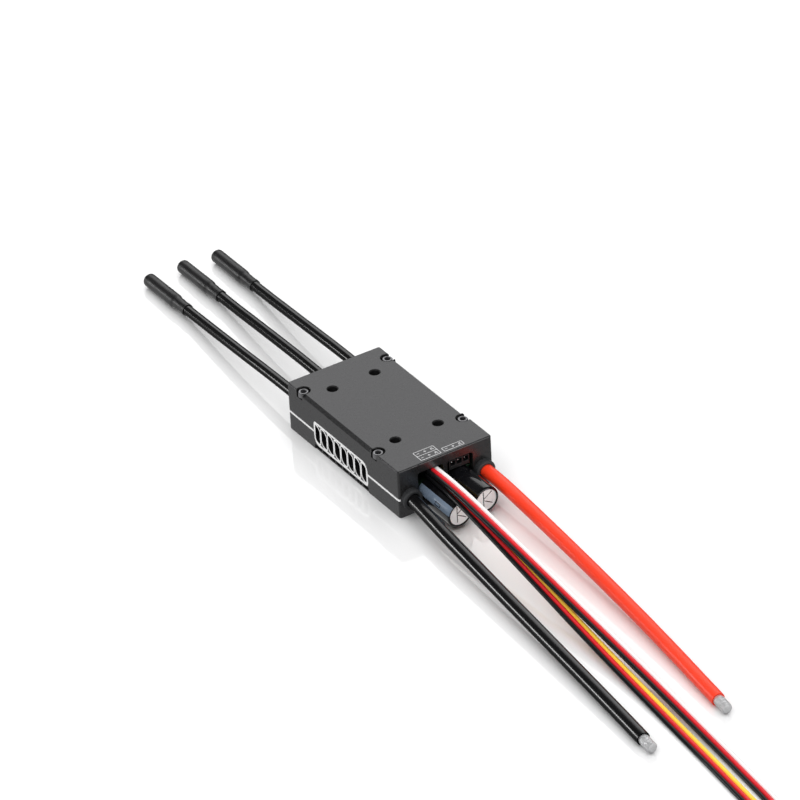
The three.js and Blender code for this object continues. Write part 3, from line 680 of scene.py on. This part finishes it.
# the shrunk sleeve: its neck grips the wire and its body the connector
SLEEVE_OUTSIDE = [
    (NECK_R - 0.12, 0), (NECK_R, 0.12), (NECK_R, 1.6), (NECK_R - 0.1, 2.4), (NECK_R - 0.1, 4.6),
    (NECK_R - 0.02, 5.2), (NECK_R - 0.08, 6.4), (NECK_R + 0.02, NECK_LENGTH - 0.4),
    (SLEEVE_R - 0.08, NECK_LENGTH + 0.35), (SLEEVE_R + 0.02, NECK_LENGTH + 0.9),
    (SLEEVE_R, 13), (SLEEVE_R - 0.04, 16.5), (SLEEVE_R - 0.02, 20), (SLEEVE_R, 23.5),
    (SLEEVE_R, SLEEVE_LENGTH - 0.55), (SLEEVE_R - 0.1, SLEEVE_LENGTH - 0.18),
    (SLEEVE_R - 0.28, SLEEVE_LENGTH),
]
SLEEVE_INSIDE = [
    (SLEEVE_BORE, SLEEVE_LENGTH), (SLEEVE_BORE, NECK_LENGTH + 1.2), (WIRE_BORE, NECK_LENGTH),
    (WIRE_BORE, 0),
]
SOCKET_START = NECK_LENGTH + 1.4
SOCKET_END = SLEEVE_LENGTH - 0.5
SOCKET_EDGE = SOCKET_END - 0.15
SOCKET_FLOOR = SOCKET_START + 5
SOCKET_PROFILE = [
    (0, SOCKET_START), (SOCKET_R, SOCKET_START), (SOCKET_R, SOCKET_EDGE),
    (SOCKET_R - 0.12, SOCKET_END), (SOCKET_BORE + 0.1, SOCKET_END), (SOCKET_BORE, SOCKET_EDGE),
    (SOCKET_BORE, SOCKET_FLOOR), (0, SOCKET_FLOOR),
]


def shrink_reach(angle, i):
    """Slight waves on the sleeve's outside."""
    if i >= len(SLEEVE_OUTSIDE):
        return 1
    return 1 + 0.006 * math.sin(3 * angle + i * 1.7) + 0.004 * math.sin(5 * angle - i * 2.3)


for phase, route in MOTOR_ROUTES.items():
    path = smooth_route(route, WIRE_STEP)
    ring = circle(MOTOR_R, MOTOR_SIDES)
    mesh = swept(path, lambda i, ring=ring: ring, [black_silicone])
    wire = add_object(f"motor_cable_{phase}", mesh)
    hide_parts(f"motor_wire_{phase}")
    start = Vector(route[-2])
    place = along_axis(start, Vector(route[-1]) - start)
    sleeve = add_object(
        f"shrink_sleeve_{phase}",
        turned(SLEEVE_OUTSIDE + SLEEVE_INSIDE, place, [heat_shrink], reach=shrink_reach),
    )
    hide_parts(f"heat_shrink_{phase}")
    mesh = turned(SOCKET_PROFILE, place, [gold])
    socket = add_object(f"bullet_{phase}", mesh)
    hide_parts(f"bullet_socket_{phase}")

# ---------------------------------------- cords: three-core leads
ARC_POINTS = 7
LEAD_STEP = 1.5
PLUG_EDGE = 0.09
NOTCH = math.acos(CORE_PITCH / 2 / CORE_R)


def lead_section():
    """The outline of three joined round cores, and each outline edge's core number."""
    outline, cores = [], []
    for core, side in ((0, 1), (1, 1), (2, 1), (2, -1), (1, -1), (0, -1)):
        centre = (core - 1) * CORE_PITCH
        ends = [math.pi if core == 0 else math.pi - NOTCH, 0 if core == 2 else NOTCH]
        if side < 0:
            ends.reverse()
        for k in range(ARC_POINTS):
            angle = ends[0] + (ends[1] - ends[0]) * k / ARC_POINTS
            outline.append((centre + CORE_R * math.cos(angle), side * CORE_R * math.sin(angle)))
            cores.append(core)
    return outline, cores


LEAD_OUTLINE, LEAD_CORES = lead_section()
LEAD_COLOURS = {"throttle": ("white", "red", "black"), "rpm": ("yellow", "red", "black")}
for lead, route in LEAD_ROUTES.items():
    body = THROTTLE if lead == "throttle" else RPM
    for name in (f"{lead}_plug", f"{lead}_end_plug"):
        mesh = with_look(eased(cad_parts[name].data.copy(), PLUG_EDGE), plug_plastic)
        plug = even_shading(add_object(f"{name}_moulded", mesh, body=body))
        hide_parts(name)
    path = smooth_route(route, LEAD_STEP)
    colours = [core_colours[c] for c in LEAD_COLOURS[lead]]
    cable = add_object(
        f"{lead}_flat_lead",
        swept(path, lambda i: LEAD_OUTLINE, colours, index=lambda i, j: LEAD_CORES[j]),
        body=body, smooth=math.radians(40),
    )
    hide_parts(f"{lead}_lead")

# ---------------------------------------- the two case shells
SEAM = 0.06
EDGE_ROUND = 0.45
RIM_ROUND = 0.2
ROUND_STEPS = 5
PAST = 1  # how far a cutter runs past the surface that it opens
INTO = 0.5  # how far a boss reaches into the roof
SCREW_PLACES = [(side * SCREW_X, y) for side in (-1, 1) for y in SCREW_YS]
VENT_YS = [VENT_Y + (i - (VENT_COUNT - 1) / 2) * VENT_PITCH for i in range(VENT_COUNT)]


def leaf(front, back, low, high, big, small):
    """A slot outline with big radii at its lower back and upper front."""
    return rounded(front, back, low, high, (small, big, small, big))


def slot_outline(y, grow=0):
    """A vent slot's outline about y, drawn out by grow."""
    half = VENT_WIDTH / 2 + grow
    return leaf(y - half, y + half, VENT_LOW - grow, VENT_HIGH + grow, VENT_BIG_R + grow,
                VENT_SMALL_R + grow)


def rounding(radius):
    """Depths below a surface, each with how far a rounded edge stands back there."""
    angles = [math.pi / 2 * k / ROUND_STEPS for k in range(ROUND_STEPS + 1)]
    return [(radius * (1 - math.sin(a)), radius * (1 - math.cos(a))) for a in angles]


def case_outline(grow):
    """The case's outline from above, drawn out by grow."""
    return rounded(-HALF_WIDTH - grow, HALF_WIDTH + grow, FRONT - grow, BACK + grow,
                   [CASE_CORNER + grow] * 4)


def case_block(low, high, round_low=False, round_high=False):
    """The case's outer body between two levels, with rounded edges on its low or high face."""
    stations = [(low, 0)]
    if round_low:
        stations = [(low + depth, -inset) for depth, inset in reversed(rounding(RIM_ROUND))]
    if round_high:
        stations += [(high - depth, -inset) for depth, inset in rounding(EDGE_ROUND)]
    else:
        stations.append((high, 0))
    return loft(case_outline, "Z", stations)


def flared(outline, axis, surface, inwards, depth):
    """A cutter that leaves a rounded rim; inwards is 1 or -1 along the axis from the surface."""
    stations = [(surface + inwards * depth, 0)]
    stations += [(surface + inwards * sunk, grow) for sunk, grow in rounding(RIM_ROUND)]
    stations.append((surface - inwards * PAST, RIM_ROUND))
    return loft(outline, axis, stations)


def case_hollow(low, high):
    """The room inside the walls between two levels."""
    x = HALF_WIDTH - SIDE_WALL
    return box(-x, x, FRONT + END_WALL, BACK - END_WALL, low, high)


def wall_cuts():
    """The vents, the cable holes and the two port windows, which both shells share."""
    cuts = [prism(slot_outline(y), "X", -HALF_WIDTH - PAST, HALF_WIDTH + PAST) for y in VENT_YS]
    for side in (-1, 1):
        x = side * POWER_X
        inside = FRONT + END_WALL + 0.01
        cuts.append(round_bar(POWER_HOLE_R, x, POWER_Z, FRONT - PAST, inside, "Y"))
        cuts.append(round_bar(POWER_BAY_R, x, POWER_Z, FRONT, POWER_START_Y + GAP, "Y"))
        x0, x1 = sorted((side * WINDOW_INNER_X, side * WINDOW_OUTER_X))

        def window(grow, x0=x0, x1=x1):
            return rounded(x0 - grow, x1 + grow, CAP_FLOOR - grow, WINDOW_TOP + grow,
                           [WINDOW_CORNER + grow] * 4)

        cuts.append(flared(window, "Y", FRONT, 1, END_WALL + 0.1))
    for x in MOTOR_XS:
        cuts.append(round_bar(MOTOR_HOLE_R, x, MOTOR_Z, BACK - END_WALL - 0.01, BACK + PAST, "Y"))
    return [(CUT, cut) for cut in cuts]


def top_shell():
    """The upper shell: roof, walls, screw and mount bosses, and their holes."""
    low = PARTING + SEAM / 2
    roof = CASE_HEIGHT - ROOF
    steps = [(CUT, case_hollow(low - PAST, roof))]
    for x, y in SCREW_PLACES:
        steps.append((ADD, round_bar(SCREW_BOSS_R, x, y, low, roof + INTO, "Z")))
    steps.append((KEEP, case_block(low, CASE_HEIGHT, round_high=True)))
    under, over = 0.1, 0.4
    sink_floor = -COUNTERSINK - under
    sink = [(0, sink_floor), (MOUNT_HOLE_R - under, sink_floor),
            (MOUNT_HOLE_R + COUNTERSINK + over, over), (0, over)]
    hole_floor = CASE_HEIGHT - MOUNT_HOLE_DEPTH
    for x in (-MOUNT_HOLE_X, MOUNT_HOLE_X):
        for y in MOUNT_HOLE_YS:
            above = Matrix.Translation((x, y, CASE_HEIGHT))
            steps += [
                (ADD, round_bar(MOUNT_BOSS_R, x, y, MOUNT_BOSS_Z, roof + INTO, "Z")),
                (CUT, round_bar(MOUNT_HOLE_R, x, y, hole_floor, CASE_HEIGHT + PAST, "Z")),
                (CUT, turned(sink, above, [], sides=64)),
            ]
    for x, y in SCREW_PLACES:

        def pocket(grow, x=x, y=y):
            return [(x + a, y + b) for a, b in circle(SCREW_POCKET_R + grow, 80)]

        steps += [
            (CUT, round_bar(SCREW_HOLE_R, x, y, low - PAST, CASE_HEIGHT + PAST, "Z", 32)),
            (CUT, flared(pocket, "Z", CASE_HEIGHT, -1, CASE_HEIGHT - SCREW_POCKET_Z)),
        ]
    # the chamfer along each top side edge, from pocket to pocket
    out = 0.2
    corner, top, width = HALF_WIDTH + out, CASE_HEIGHT + out, EDGE_CHAMFER
    start, end = min(SCREW_YS) + SCREW_POCKET_R, max(SCREW_YS) - SCREW_POCKET_R
    for side in (-1, 1):
        triangle = [(side * corner, top - width - 2 * out), (side * corner, top),
                    (side * (corner - width - 2 * out), top)]
        steps.append((CUT, prism(triangle, "Y", start, end)))
    return combined(case_block(low, CASE_HEIGHT, round_high=True), steps + wall_cuts())


def bottom_shell():
    """The lower shell: floor, walls, screw bosses, capacitor bed and cooling channels."""
    high = PARTING - SEAM / 2
    steps = [(CUT, case_hollow(FLOOR_T, high + PAST))]
    for x, y in SCREW_PLACES:
        steps.append((ADD, round_bar(SCREW_BOSS_R, x, y, SCREW_BOSS_LOW, high, "Z")))
    steps.append((KEEP, case_block(0, high, round_low=True)))
    for x, y in SCREW_PLACES:
        steps.append((CUT, round_bar(SCREW_HOLE_R, x, y, SCREW_HOLE_LOW, high + PAST, "Z", 32)))
    bed = box(-WINDOW_OUTER_X, WINDOW_OUTER_X, FRONT + END_WALL - 0.1, FRONT + CAP_BED_LENGTH,
              CAP_FLOOR, high + PAST)
    steps.append((CUT, bed))
    reach = HALF_WIDTH + PAST
    half = CHANNEL_WIDTH / 2
    for y in VENT_YS:
        steps.append((CUT, box(-reach, reach, y - half, y + half, CHANNEL_LOW, CHANNEL_HIGH)))
    # the fins between the channels stand back from the side walls
    run = VENT_COUNT * VENT_PITCH / 2
    for side in (-1, 1):
        x0, x1 = sorted((side * (HALF_WIDTH - FIN_SETBACK), side * reach))
        steps.append((CUT, box(x0, x1, VENT_Y - run, VENT_Y + run, -PAST, CHANNEL_HIGH)))
    return combined(case_block(0, high, round_low=True), steps + wall_cuts())


for name, build in (("top_shell", top_shell), ("bottom_shell", bottom_shell)):
    mesh = with_look(cleaned(build()), anodised)
    shell = even_shading(add_object(f"{name}_machined", mesh))
    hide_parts(name)

# ---------------------------------------- printed marks
MARK_DEPTH = 0.02
MARK_HEIGHT = 0.04
LINE = 0.52
LINE_START = 0.03
STRIPE = (6.65, 7.45)
STRIPE_LAP = 0.1
FRAME = {"front": -6.8, "back": 26.4, "low": 2.2, "high": 11.3, "big": 3, "small": 1.2}
FRAME_WIDTH = 0.8
FRAME_RAISE = 0.01  # so that the frame doesn't share a face with the slots' outlines


def side_skin(side, raise_by=0):
    """The inner and outer level of a mark on one side of the case, lower first."""
    height = HALF_WIDTH + MARK_HEIGHT + raise_by
    return sorted((side * (HALF_WIDTH - MARK_DEPTH), side * height))


def frame_outline(inset):
    """The outline round all the vents of one side, drawn in by inset."""
    return leaf(FRAME["front"] + inset, FRAME["back"] - inset, FRAME["low"] + inset,
                FRAME["high"] - inset, FRAME["big"] - inset, FRAME["small"] - inset)


def stripe(side, end, start_y):
    """A thin stripe round one corner of the case; end is -1 for the front, 1 for the back."""
    corner_y = BACK if end > 0 else FRONT
    centre = (HALF_WIDTH - CASE_CORNER, end * corner_y - CASE_CORNER)
    outer = arc(centre, CASE_CORNER + MARK_HEIGHT, 0, 1, 8)
    inner = arc(centre, CASE_CORNER - MARK_DEPTH, 0, 1, 8)
    outline = [(HALF_WIDTH + MARK_HEIGHT, end * start_y), *outer, *reversed(inner),
               (HALF_WIDTH - MARK_DEPTH, end * start_y)]
    return prism([(side * x, end * y) for x, y in outline], "Z", *STRIPE)


for side, word in ((-1, "left"), (1, "right")):
    marks = [prism(frame_outline(0), "X", *side_skin(side, FRAME_RAISE),
                   hole=frame_outline(FRAME_WIDTH))]
    for y in VENT_YS:
        marks.append(prism(slot_outline(y, LINE), "X", *side_skin(side),
                           hole=slot_outline(y, LINE_START)))
    marks.append(stripe(side, 1, FRAME["back"] - STRIPE_LAP))
    marks.append(stripe(side, -1, FRAME["front"] + STRIPE_LAP))
    add_object(f"vent_marking_{word}", joined(marks, white_mark))

LEGEND_SKIN = (CASE_HEIGHT - MARK_DEPTH, CASE_HEIGHT + MARK_HEIGHT)
LEGEND_CORNER = 0.35
THIN = 0.2
GLYPHS = {
    "minus": [(-0.5, -0.1), (0.5, -0.1), (0.5, 0.1), (-0.5, 0.1)],
    "plus": [(-0.5, -0.1), (-0.1, -0.1), (-0.1, -0.5), (0.1, -0.5), (0.1, -0.1), (0.5, -0.1),
             (0.5, 0.1), (0.1, 0.1), (0.1, 0.5), (-0.1, 0.5), (-0.1, 0.1), (-0.5, 0.1)],
    "pulse": [(-0.65, -0.5), (-0.15, -0.5), (-0.15, 0.3), (0.15, 0.3), (0.15, -0.5),
              (0.65, -0.5), (0.65, -0.3), (0.35, -0.3), (0.35, 0.5), (-0.35, 0.5),
              (-0.35, -0.3), (-0.65, -0.3)],
}
LEGENDS = {
    "signal": (-8.4, -0.4, (-24.9, -22.2, -19.5)),
    "programming": (0.8, 8.75, (-25.0, -22.6)),
}
for name, (x0, x1, ys) in LEGENDS.items():

    def border(inset, x0=x0, x1=x1, ys=ys):
        return rounded(x0 + inset, x1 - inset, ys[0] + inset, ys[-1] - inset,
                       [LEGEND_CORNER - inset] * 4)

    marks = [prism(border(0), "Z", *LEGEND_SKIN, hole=border(THIN))]
    for y in ys[1:-1]:
        marks.append(box(x0 + THIN, x1 - THIN, y - THIN / 2, y + THIN / 2, *LEGEND_SKIN))
    for y0, y1 in zip(ys, ys[1:]):
        for column, glyph in enumerate(GLYPHS.values()):
            x, y = x0 + (x1 - x0) * (column + 0.5) / len(GLYPHS), (y0 + y1) / 2
            marks.append(prism([(x + a, y + b) for a, b in glyph], "Z", *LEGEND_SKIN))
    add_object(f"{name}_legend", joined(marks, grey_mark))

# ---------------------------------------- case screws
SCREW_SIDES = 96
HEX_R = 1.02  # wider than the CAD's, as the photograph shows it
KNURL_RINGS = (4, 5)
KNURL_DEPTH = 0.018
KNURLS = 32
HEX_FROM = 10  # the profile's first point on the socket's wall
SCREW_LOW = SCREW_TIP_Z - SCREW_POCKET_Z - GAP
SCREW_PROFILE = [
    (0, SCREW_LOW), (SCREW_SHANK_R, SCREW_LOW), (SCREW_SHANK_R, 0), (SCREW_HEAD_R - 0.12, 0),
    (SCREW_HEAD_R, 0.12), (SCREW_HEAD_R, SCREW_HEAD_H - 0.3),
    (SCREW_HEAD_R - 0.06, SCREW_HEAD_H - 0.12), (SCREW_HEAD_R - 0.22, SCREW_HEAD_H),
    (HEX_R + 0.22, SCREW_HEAD_H), (HEX_R + 0.05, SCREW_HEAD_H - 0.06),
    (HEX_R, SCREW_HEAD_H - 0.15), (HEX_R, SCREW_HEAD_H - 1.2), (0, SCREW_HEAD_H - 1.4),
]


def screw_reach(angle, i):
    """Fine knurls round the head, and a hexagon for the rings of the socket."""
    if i in KNURL_RINGS:
        return 1 - KNURL_DEPTH * (math.cos(KNURLS * angle) > 0)
    if i < HEX_FROM:
        return 1
    sixth = math.pi / 3
    return math.cos(sixth / 2) / math.cos(angle % sixth - sixth / 2)


for word, (x, y) in zip(("left_rear", "left_front", "right_rear", "right_front"), SCREW_PLACES):
    # each screw was tightened to an angle of its own
    tightened = Matrix.Rotation(0.4 * x * y, 4, "Z")
    place = Matrix.Translation((x, y, SCREW_POCKET_Z + GAP)) @ tightened
    screw = add_object(
        f"socket_screw_{word}",
        turned(SCREW_PROFILE, place, [screw_steel], sides=SCREW_SIDES, reach=screw_reach),
    )
    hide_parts(f"case_screw_{word}")

# ---------------------------------------- capacitors
CAP_SIDES = 90
CAP_STRIPES = {
    "left": (math.radians(126), math.radians(170)),
    "right": (math.radians(270), math.radians(314)),
}
FILM_R = CAP_CAN_R + 0.06
CURL_R = CAP_CAN_R - CAP_LIP_WIDTH
STRIPE_RINGS = range(1, 5)
CURL_RINGS = range(3, 9)
SIGN_ANGLE = math.radians(156)
SIGN_BEFORE_END = 7
SCORES = [((-0.9, -3), (-0.9, 3)), ((-0.9, 0.2), (2.3, 2.4)), ((-0.9, -0.2), (2.5, -2.2))]
SCORE_WIDTH = 0.2
# how far from a scored line its painted shade reaches
SCORE_SHADE_REACH = 0.16
SCORE_DEPTH = 0.14
FACE_R = CAP_CAN_R - 1
FACE_RINGS = 26
FACE_FROM = 6  # the can profile's first point on its flat face


def film_profile(length):
    """The shrunk film, which curls over the can's rim."""
    return [
        (FILM_R, 0), (CAP_SLEEVE_R, 0), (CAP_SLEEVE_R, length - 0.8),
        (CAP_SLEEVE_R - 0.04, length - 0.5), (CAP_SLEEVE_R - 0.16, length - 0.24),
        (CAP_SLEEVE_R - 0.36, length - 0.06), (CAP_SLEEVE_R - 0.58, length),
        (CURL_R + 0.08, length - 0.02), (CURL_R, length - 0.12), (CURL_R, length - CAP_LIP),
        (FILM_R, length - CAP_LIP),
    ]


def can_profile(end):
    """The can with its crimped rim, and a face in rings fine enough for the scored lines."""
    rim = [(0, 0.2), (CAP_CAN_R, 0.2), (CAP_CAN_R, end - 0.25), (CAP_CAN_R - 0.2, end),
           (CAP_CAN_R - 0.65, end), (CAP_CAN_R - 0.95, end - 0.14)]
    return rim + [(FACE_R * (1 - k / FACE_RINGS), end - 0.15) for k in range(FACE_RINGS + 1)]


CAN_RADII = [radius for radius, along in can_profile(0)]


def curl_reach(angle, i):
    """Slight gathers where the film is drawn in."""
    return 1 + (0.0015 * math.sin(7 * angle) if i in CURL_RINGS else 0)


def score_distance(u, v):
    """How far a point of the can's face is from the nearest scored line."""
    nearest = CAP_CAN_R
    for a, b in SCORES:
        a, b, p = Vector(a), Vector(b), Vector((u, v))
        t = max(0, min(1, (p - a).dot(b - a) / (b - a).length_squared))
        nearest = min(nearest, (p - a.lerp(b, t)).length)
    return nearest


def score_dent(u, v, i):
    """How far a point of the can's face sinks into a scored line, as a negative move."""
    if i < FACE_FROM:
        return 0
    return -SCORE_DEPTH * max(0, 1 - score_distance(u, v) / SCORE_WIDTH)


def score_shade_index(i, j):
    """The painted-shade material's number for faces in a scored line, or else 0."""
    if i < FACE_FROM:
        return 0
    r = (CAN_RADII[i] + CAN_RADII[i + 1]) / 2
    angle = 2 * math.pi * (j + 0.5) / CAN_SIDES
    return int(score_distance(r * math.cos(angle), r * math.sin(angle)) < SCORE_SHADE_REACH)


def on_film(outline, r, place, along):
    """An outline of (round, along) offsets, laid round the film at a radius."""
    angles = [(SIGN_ANGLE + u / CAP_SLEEVE_R, along + v) for u, v in outline]
    return [place @ Vector((r * math.cos(a), r * math.sin(a), w)) for a, w in angles]


for side, word in ((-1, "left"), (1, "right")):
    length = CAP_OUT[word] + CAP_START_Y - FRONT
    place = facing(-1, side * CAP_X, CAP_START_Y, CAP_Z)

    def stripe_index(i, j, stripe_angles=CAP_STRIPES[word]):
        angle = 2 * math.pi * (j + 0.5) / CAP_SIDES
        return int(i in STRIPE_RINGS and stripe_angles[0] < angle < stripe_angles[1])

    sleeve = add_object(
        f"capacitor_film_{word}",
        turned(film_profile(length), place, [cap_black, cap_stripe], sides=CAP_SIDES,
               index=stripe_index, reach=curl_reach),
    )
    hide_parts(f"capacitor_sleeve_{word}")
    if word == "left":
        # a dark outlined minus sign lies on the stripe and follows the film's curve
        outer = rounded(-0.65, 0.65, -1.5, 1.5, [0.25] * 4, 3)
        inner = rounded(-0.42, 0.42, -1.27, 1.27, [0.1] * 4, 3)
        low, high = CAP_SLEEVE_R - MARK_DEPTH, CAP_SLEEVE_R + 0.06
        loops = [on_film(outline, r, place, length - SIGN_BEFORE_END) for outline, r in (
            (outer, low), (outer, high), (inner, high), (inner, low))]
        add_object("capacitor_minus_sign", band(loops, [cap_black]))
    can = add_object(
        f"capacitor_end_{word}",
        turned(can_profile(length - CAP_LIP - 0.1), place, [can_metal, score_shade],
               sides=CAN_SIDES, dent=score_dent, index=score_shade_index),
    )
    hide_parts(f"capacitor_can_{word}")

# ---------------------------------------- grommets
POWER_BORE = POWER_R + 0.05
POWER_SEAL = [
    (POWER_BORE, -END_WALL + 0.1), (POWER_HOLE_R - 0.25, -END_WALL + 0.1),
    (POWER_HOLE_R - 0.25, 0.08), (POWER_FLANGE_R - 0.1, 0.08), (POWER_FLANGE_R, 0.18),
    (POWER_FLANGE_R, 0.5), (POWER_FLANGE_R - 0.22, 0.6), (POWER_FLANGE_R - 0.22, 0.76),
    (POWER_FLANGE_R, 0.86), (POWER_FLANGE_R, 1.14), (POWER_FLANGE_R - 0.2, 1.24),
    (POWER_FLANGE_R - 0.2, 1.38), (POWER_FLANGE_R, 1.48), (POWER_FLANGE_R, 2.05),
    (POWER_FLANGE_R - 0.1, 2.3), (POWER_FLANGE_R - 0.32, 2.46),
    (POWER_FLANGE_R - 0.6, POWER_FLANGE_OUT), (POWER_BORE + 0.22, POWER_FLANGE_OUT),
    (POWER_BORE + 0.06, 2.44), (POWER_BORE, 2.28),
]
MOTOR_BORE = MOTOR_R + 0.04
MOTOR_SEAL = [
    (MOTOR_BORE, -END_WALL + 0.1), (MOTOR_HOLE_R - 0.2, -END_WALL + 0.1),
    (MOTOR_HOLE_R - 0.2, 0.06), (MOTOR_FLANGE_R - 0.08, 0.06), (MOTOR_FLANGE_R, 0.14),
    (MOTOR_FLANGE_R, 0.66), (MOTOR_FLANGE_R - 0.08, 0.86),
    (MOTOR_FLANGE_R - 0.26, MOTOR_FLANGE_OUT), (MOTOR_BORE + 0.18, MOTOR_FLANGE_OUT),
    (MOTOR_BORE, 0.84),
]
seals = [
    ("power", pole, facing(-1, side * POWER_X, FRONT, POWER_Z), POWER_SEAL, 72)
    for pole, side in (("minus", -1), ("plus", 1))
]
seals += [
    ("motor", phase, facing(1, x, BACK, MOTOR_Z), MOTOR_SEAL, 64)
    for phase, x in zip("abc", MOTOR_XS)
]
for kind, word, place, profile, sides in seals:
    mesh = turned(profile, place, [grommet_rubber], sides=sides)
    seal = add_object(f"{kind}_seal_{word}", mesh)
    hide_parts(f"{kind}_grommet_{word}")

# ---------------------------------------- small moulded pieces and boards
MOULDED = {
    "thermal_pad": (pad_grey, "pad", 0.12), "power_board": (board_mask, "boards", 0.06),
    "control_board": (board_mask, "boards", 0.06), "microcontroller": (epoxy, "chips", 0.1),
    "bec_inductor": (epoxy, "chips", 0.2), "signal_header": (plug_plastic, "plugs", 0.08),
    "programming_header": (plug_plastic, "plugs", 0.1),
}
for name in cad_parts:
    if name.startswith("mosfet"):
        MOULDED[name] = (epoxy, "chips", 0.12)
for name, (look, slot, width) in MOULDED.items():
    mesh = with_look(eased(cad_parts[name].data.copy(), width), look)
    piece = even_shading(add_object(f"{name}_moulded", mesh))
    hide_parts(name)
for name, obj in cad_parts.items():
    if "_pin_" in name:
        with_look(obj.data, tinned)

# ---------------------------------------- floor, light and world
SPREAD = 6
floor_mesh = bpy.data.meshes.new("floor")
floor_mesh.from_pydata(
    [(-SPREAD, -SPREAD, 0), (SPREAD, -SPREAD, 0), (SPREAD, SPREAD, 0), (-SPREAD, SPREAD, 0)],
    [], [(0, 1, 2, 3)],
)
floor = linked("floor", floor_mesh)
floor_white = material("floor_white", (0.88, 0.88, 0.882), 0.06, shade=0.004, patch=3, grain=40,
                       bump=0.0, Specular_IOR_Level=0.95)
floor_mesh.materials.append(floor_white)
floor.visible_glossy = False
floor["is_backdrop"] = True

world = bpy.data.worlds.new("studio")
bpy.context.scene.world = world
world.use_nodes = True
sky = world.node_tree
direction = sky.nodes.new("ShaderNodeTexCoord").outputs["Generated"]
compass = node(sky, "ShaderNodeSeparateXYZ", {"Vector": direction})
# a dim studio with the pale ground's glow under the horizon: (height from 0 to 1, grey level)
GLOW = ((0.05, 0.2), (0.15, 0.52), (0.45, 0.52), (0.51, 0.07), (1, 0.07))
height = span(sky, compass.outputs["Z"], (-1, 1), (0, 1))
glow = ramp(sky, height, [(at, (level,) * 3) for at, level in GLOW])
strength = span(sky, compass.outputs["Y"], (-0.35, 0.25), (0.6, 1))
sky.links.new(glow, sky.nodes["Background"].inputs["Color"])
sky.links.new(strength, sky.nodes["Background"].inputs["Strength"])


def panel(name, at, size, radiance):
    """A rectangular soft light of a given radiance that faces the origin."""
    lamp = bpy.data.lights.new(name, "AREA")
    lamp.shape = "RECTANGLE"
    lamp.size, lamp.size_y = size
    lamp.energy = radiance * math.pi * size[0] * size[1]
    made = linked(name, lamp)
    made.location = at
    made.rotation_mode = "QUATERNION"
    made.rotation_quaternion = (-Vector(at)).to_track_quat("-Z", "Y")
    return made


# the overhead light is kept out of reflections, so that the case's top edges stay dark
panel("panel_top", (-0.3, 0.1, 2.4), (4.6, 4.6), 1.95).visible_glossy = False
panel("panel_back", (1.25, 1.75, 1.33), (1.9, 1.5), 1.4)
panel("panel_side", (-1.75, -0.95, 1.3), (1.4, 1.1), 1.1)
low_lights = (panel("panel_left", (-1.8, 1.95, 0.42), (0.6, 0.5), 10),
              panel("panel_front", (0.6, -2.1, 0.35), (1.9, 0.7), 4.4))
# the two low lights serve the object only, so that the floor doesn't mirror them
spared = bpy.data.collections.new("spared")
spared.objects.link(floor)
spared.collection_objects[0].light_linking.link_state = "EXCLUDE"
for lamp in low_lights:
    lamp.light_linking.receiver_collection = spared

view_settings = bpy.context.scene.view_settings
view_settings.view_transform = "Standard"
view_settings.look = "None"

# ---------------------------------------- sizes
low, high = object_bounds()
